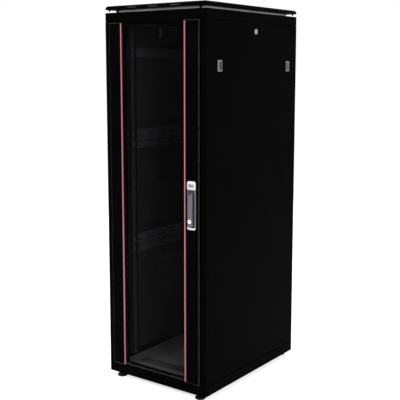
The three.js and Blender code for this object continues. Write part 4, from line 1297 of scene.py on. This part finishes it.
def pad_shell(centre, radius):
    """Circles whose radius carries shallow waves on the side wall and none on the sole and the crown."""
    rows = [
        (0.001, 0.0, 0.0), (radius - 0.0008, 0.0, 0.0), (radius, 0.0008, 1.0), (radius, 0.0064, 1.0),
        (radius - 0.0006, 0.0074, 0.4), (radius - 0.004, 0.0105, 0.0), (0.0105, 0.012, 0.0),
        (0.001, 0.0121, 0.0),
    ]
    angle = np.arange(PAD_RIBS * 6) * 2 * np.pi / (PAD_RIBS * 6)
    wave = PAD_WAVE * (np.cos(PAD_RIBS * angle) - 1)
    circle = np.stack([np.cos(angle), np.sin(angle)], axis=-1)
    return capped([stand((r + share * wave)[:, None] * circle, "z", centre, z) for r, z, share in rows])


def thread_shell(centre, radius, low, high, sides=24, steps_a_turn=6):
    """A tube with radius r - d|p - 1/2|, where the phase p runs from 0 to 1 over each turn of the thread."""
    rows = int((high - low) / PITCH * steps_a_turn)
    z = np.linspace(low, high, rows)[:, None]
    angle = (np.arange(sides) * 2 * np.pi / sides)[None, :]
    phase = (z / PITCH - angle / (2 * np.pi)) % 1.0
    r = radius - 0.0018 * np.abs(phase - 0.5)
    x, y = centre[0] + r * np.cos(angle), centre[1] + r * np.sin(angle)
    return capped(np.stack([x, y, np.broadcast_to(z, r.shape)], axis=-1))


HEXAGON = [
    (0.001, 0.0118), (0.0095, 0.0118), (0.0103, 0.0126),
    (0.0103, 0.0186), (0.0095, 0.0194), (0.001, 0.0194),
]
for corner in ("front_left", "front_right", "rear_left", "rear_right"):
    node_name = "foot_" + corner
    low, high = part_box(node_name)
    centre = middle_of(low, high, 0, 1)
    pad = pad_shell(centre, high[0] - centre[0])
    thread = thread_shell(centre, STUD_RADIUS, STUD_FROM, high[2] - 0.0005)
    foot = new_piece(node_name + "_turned", pad, turned(HEXAGON, "z", centre, 6), thread)
    shade(foot)
    fit_out(foot, node_name, "black_plastic", FINISHES["black_plastic"], node_name)
print("foot faces:", len(foot.data.polygons))

# %% [markdown]
# ## Fixings
#
# Hexagon bolts hold the braces to the posts and the rails to the braces. They repeat many times, so each
# head is only a six-sided, chamfered cap on a round washer, and all of them make one mesh that moves with
# the frame.

# %% Bolts
STEEL = 0.0018
BOLT_FROM_END = 0.018
RAIL_BOLT_Y = 0.245


def bolt_shells(x, y, z, side):
    """A washer and a chamfered hexagon whose heads point towards the middle of the cabinet."""
    inwards = -side
    washer_profile = ((0.0005, 0.0), (0.0085, 0.0), (0.0085, 0.0014), (0.0005, 0.0014))
    washer = [(radius, x + inwards * rise) for radius, rise in washer_profile]
    head_profile = ((0.0005, 0.0013), (0.0072, 0.0013), (0.0072, 0.0045), (0.0063, 0.0056), (0.0005, 0.0056))
    head = [(radius, x + inwards * rise) for radius, rise in head_profile]
    return [turned(washer, "x", (y, z), 14), turned(head, "x", (y, z), 6)]


def bolt_places():
    """Two bolts at each end of every brace, and two where each rail crosses it: (x, y, z, side)."""
    places = []
    for side, prefix in ((-1, "left"), (1, "right")):
        rail_x = side * (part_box("rail_front_right")[1][0] - STEEL)
        for level in ("lower", "middle", "upper"):
            low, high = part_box(f"brace_{prefix}_{level}")
            web = side * (max(abs(low[0]), abs(high[0])) - STEEL)
            span = high[2] - low[2]
            for share in (0.25, 0.75):
                z = low[2] + share * span
                places += [(web, end * (high[1] - BOLT_FROM_END), z, side) for end in (-1, 1)]
                places += [(rail_x, end * RAIL_BOLT_Y, z, side) for end in (-1, 1)]
    return places


bolts = new_piece("frame_bolts", *[shell for place in bolt_places() for shell in bolt_shells(*place)])
shade(bolts, 30.0)
fit_out(bolts, "cabinet", "zinc_steel", FINISHES["zinc_steel"])
print("bolts:", len(bolt_places()))

# %% [markdown]
# ## Floor and light
#
# The floor is a pale sheet that fades into a white room. Camera, glossy and transmitted rays see both as
# plain white, while the light that falls on matt surfaces comes from a softer sky and large soft boxes. The
# floor adds its own glow to what the lamps give it, so it clips to white in the open and keeps the
# cabinet's shadow.

# %% Floor, world and lamps
FLOOR_SIZE = 40.0
floor_mesh = bpy.data.meshes.new("floor")
floor_corners = np.array([[-1, -1, 0], [1, -1, 0], [1, 1, 0], [-1, 1, 0]], float) * FLOOR_SIZE
floor_mesh.from_pydata(floor_corners.tolist(), [], [[0, 1, 2, 3]])
floor = bpy.data.objects.new("floor", floor_mesh)
bpy.context.scene.collection.objects.link(floor)


def seen_or_lit(tree, lit, seen):
    """The seen shader for camera, glossy and transmitted rays, and the lit one for all others."""
    path = tree.nodes.new("ShaderNodeLightPath")
    eye = maths(tree, "MAXIMUM", path.outputs["Is Camera Ray"], path.outputs["Is Glossy Ray"])
    mix = tree.nodes.new("ShaderNodeMixShader")
    tree.links.new(maths(tree, "MAXIMUM", eye, path.outputs["Is Transmission Ray"]), mix.inputs["Fac"])
    tree.links.new(lit, mix.inputs[1])
    tree.links.new(seen, mix.inputs[2])
    return mix.outputs[0]


SKY_STRENGTH = 0.5
world = bpy.data.worlds.new("room")
bpy.context.scene.world = world
world.use_nodes = True
room = world.node_tree
sky = room.nodes["Background"]
sky.inputs["Color"].default_value = (1.0, 1.0, 1.0, 1.0)
sky.inputs["Strength"].default_value = SKY_STRENGTH
backdrop = room.nodes.new("ShaderNodeBackground")
backdrop.inputs["Color"].default_value = (1.0, 1.0, 1.0, 1.0)
backdrop.inputs["Strength"].default_value = 1.0
room_out = room.nodes["World Output"].inputs["Surface"]
room.links.new(seen_or_lit(room, sky.outputs[0], backdrop.outputs[0]), room_out)

FLOOR_GLOW = 0.62
floor_material, floor_tree, floor_shader = finish("floor_white", (0.85, 0.85, 0.85), 0.9, 0.0, 0.0)
glow = floor_tree.nodes.new("ShaderNodeEmission")
glow.inputs["Strength"].default_value = FLOOR_GLOW
added = floor_tree.nodes.new("ShaderNodeAddShader")
floor_tree.links.new(floor_shader.outputs[0], added.inputs[0])
floor_tree.links.new(glow.outputs[0], added.inputs[1])
floor_out = floor_tree.nodes["Material Output"].inputs["Surface"]
floor_tree.links.new(seen_or_lit(floor_tree, floor_shader.outputs[0], added.outputs[0]), floor_out)
floor_mesh.materials.append(floor_material)


def soft_box(name, place, aim, size, power):
    """A square area lamp that looks from its place towards a point."""
    data = bpy.data.lights.new(name, "AREA")
    data.size = size
    data.energy = power
    lamp = bpy.data.objects.new(name, data)
    lamp.location = place
    look = np.array(aim, float) - np.array(place, float)
    tilt = math.atan2(math.hypot(look[0], look[1]), -look[2])
    lamp.rotation_euler = (tilt, 0.0, math.atan2(look[1], look[0]) - math.pi / 2)
    lamp.visible_glossy = False
    bpy.context.scene.collection.objects.link(lamp)


soft_box("key_light", (3.9, -2.9, 2.4), (0, 0, 1.0), 1.2, 110.0)
soft_box("front_light", (-1.2, -4.6, 3.0), (0, 0, 1.0), 1.6, 90.0)
soft_box("top_light", (0.3, 0.4, 4.8), (0, 0, 0.5), 2.5, 80.0)
soft_box("back_light", (-2.6, 4.2, 2.8), (0, 0, 1.0), 1.8, 80.0)
print("floor and lamps ready")
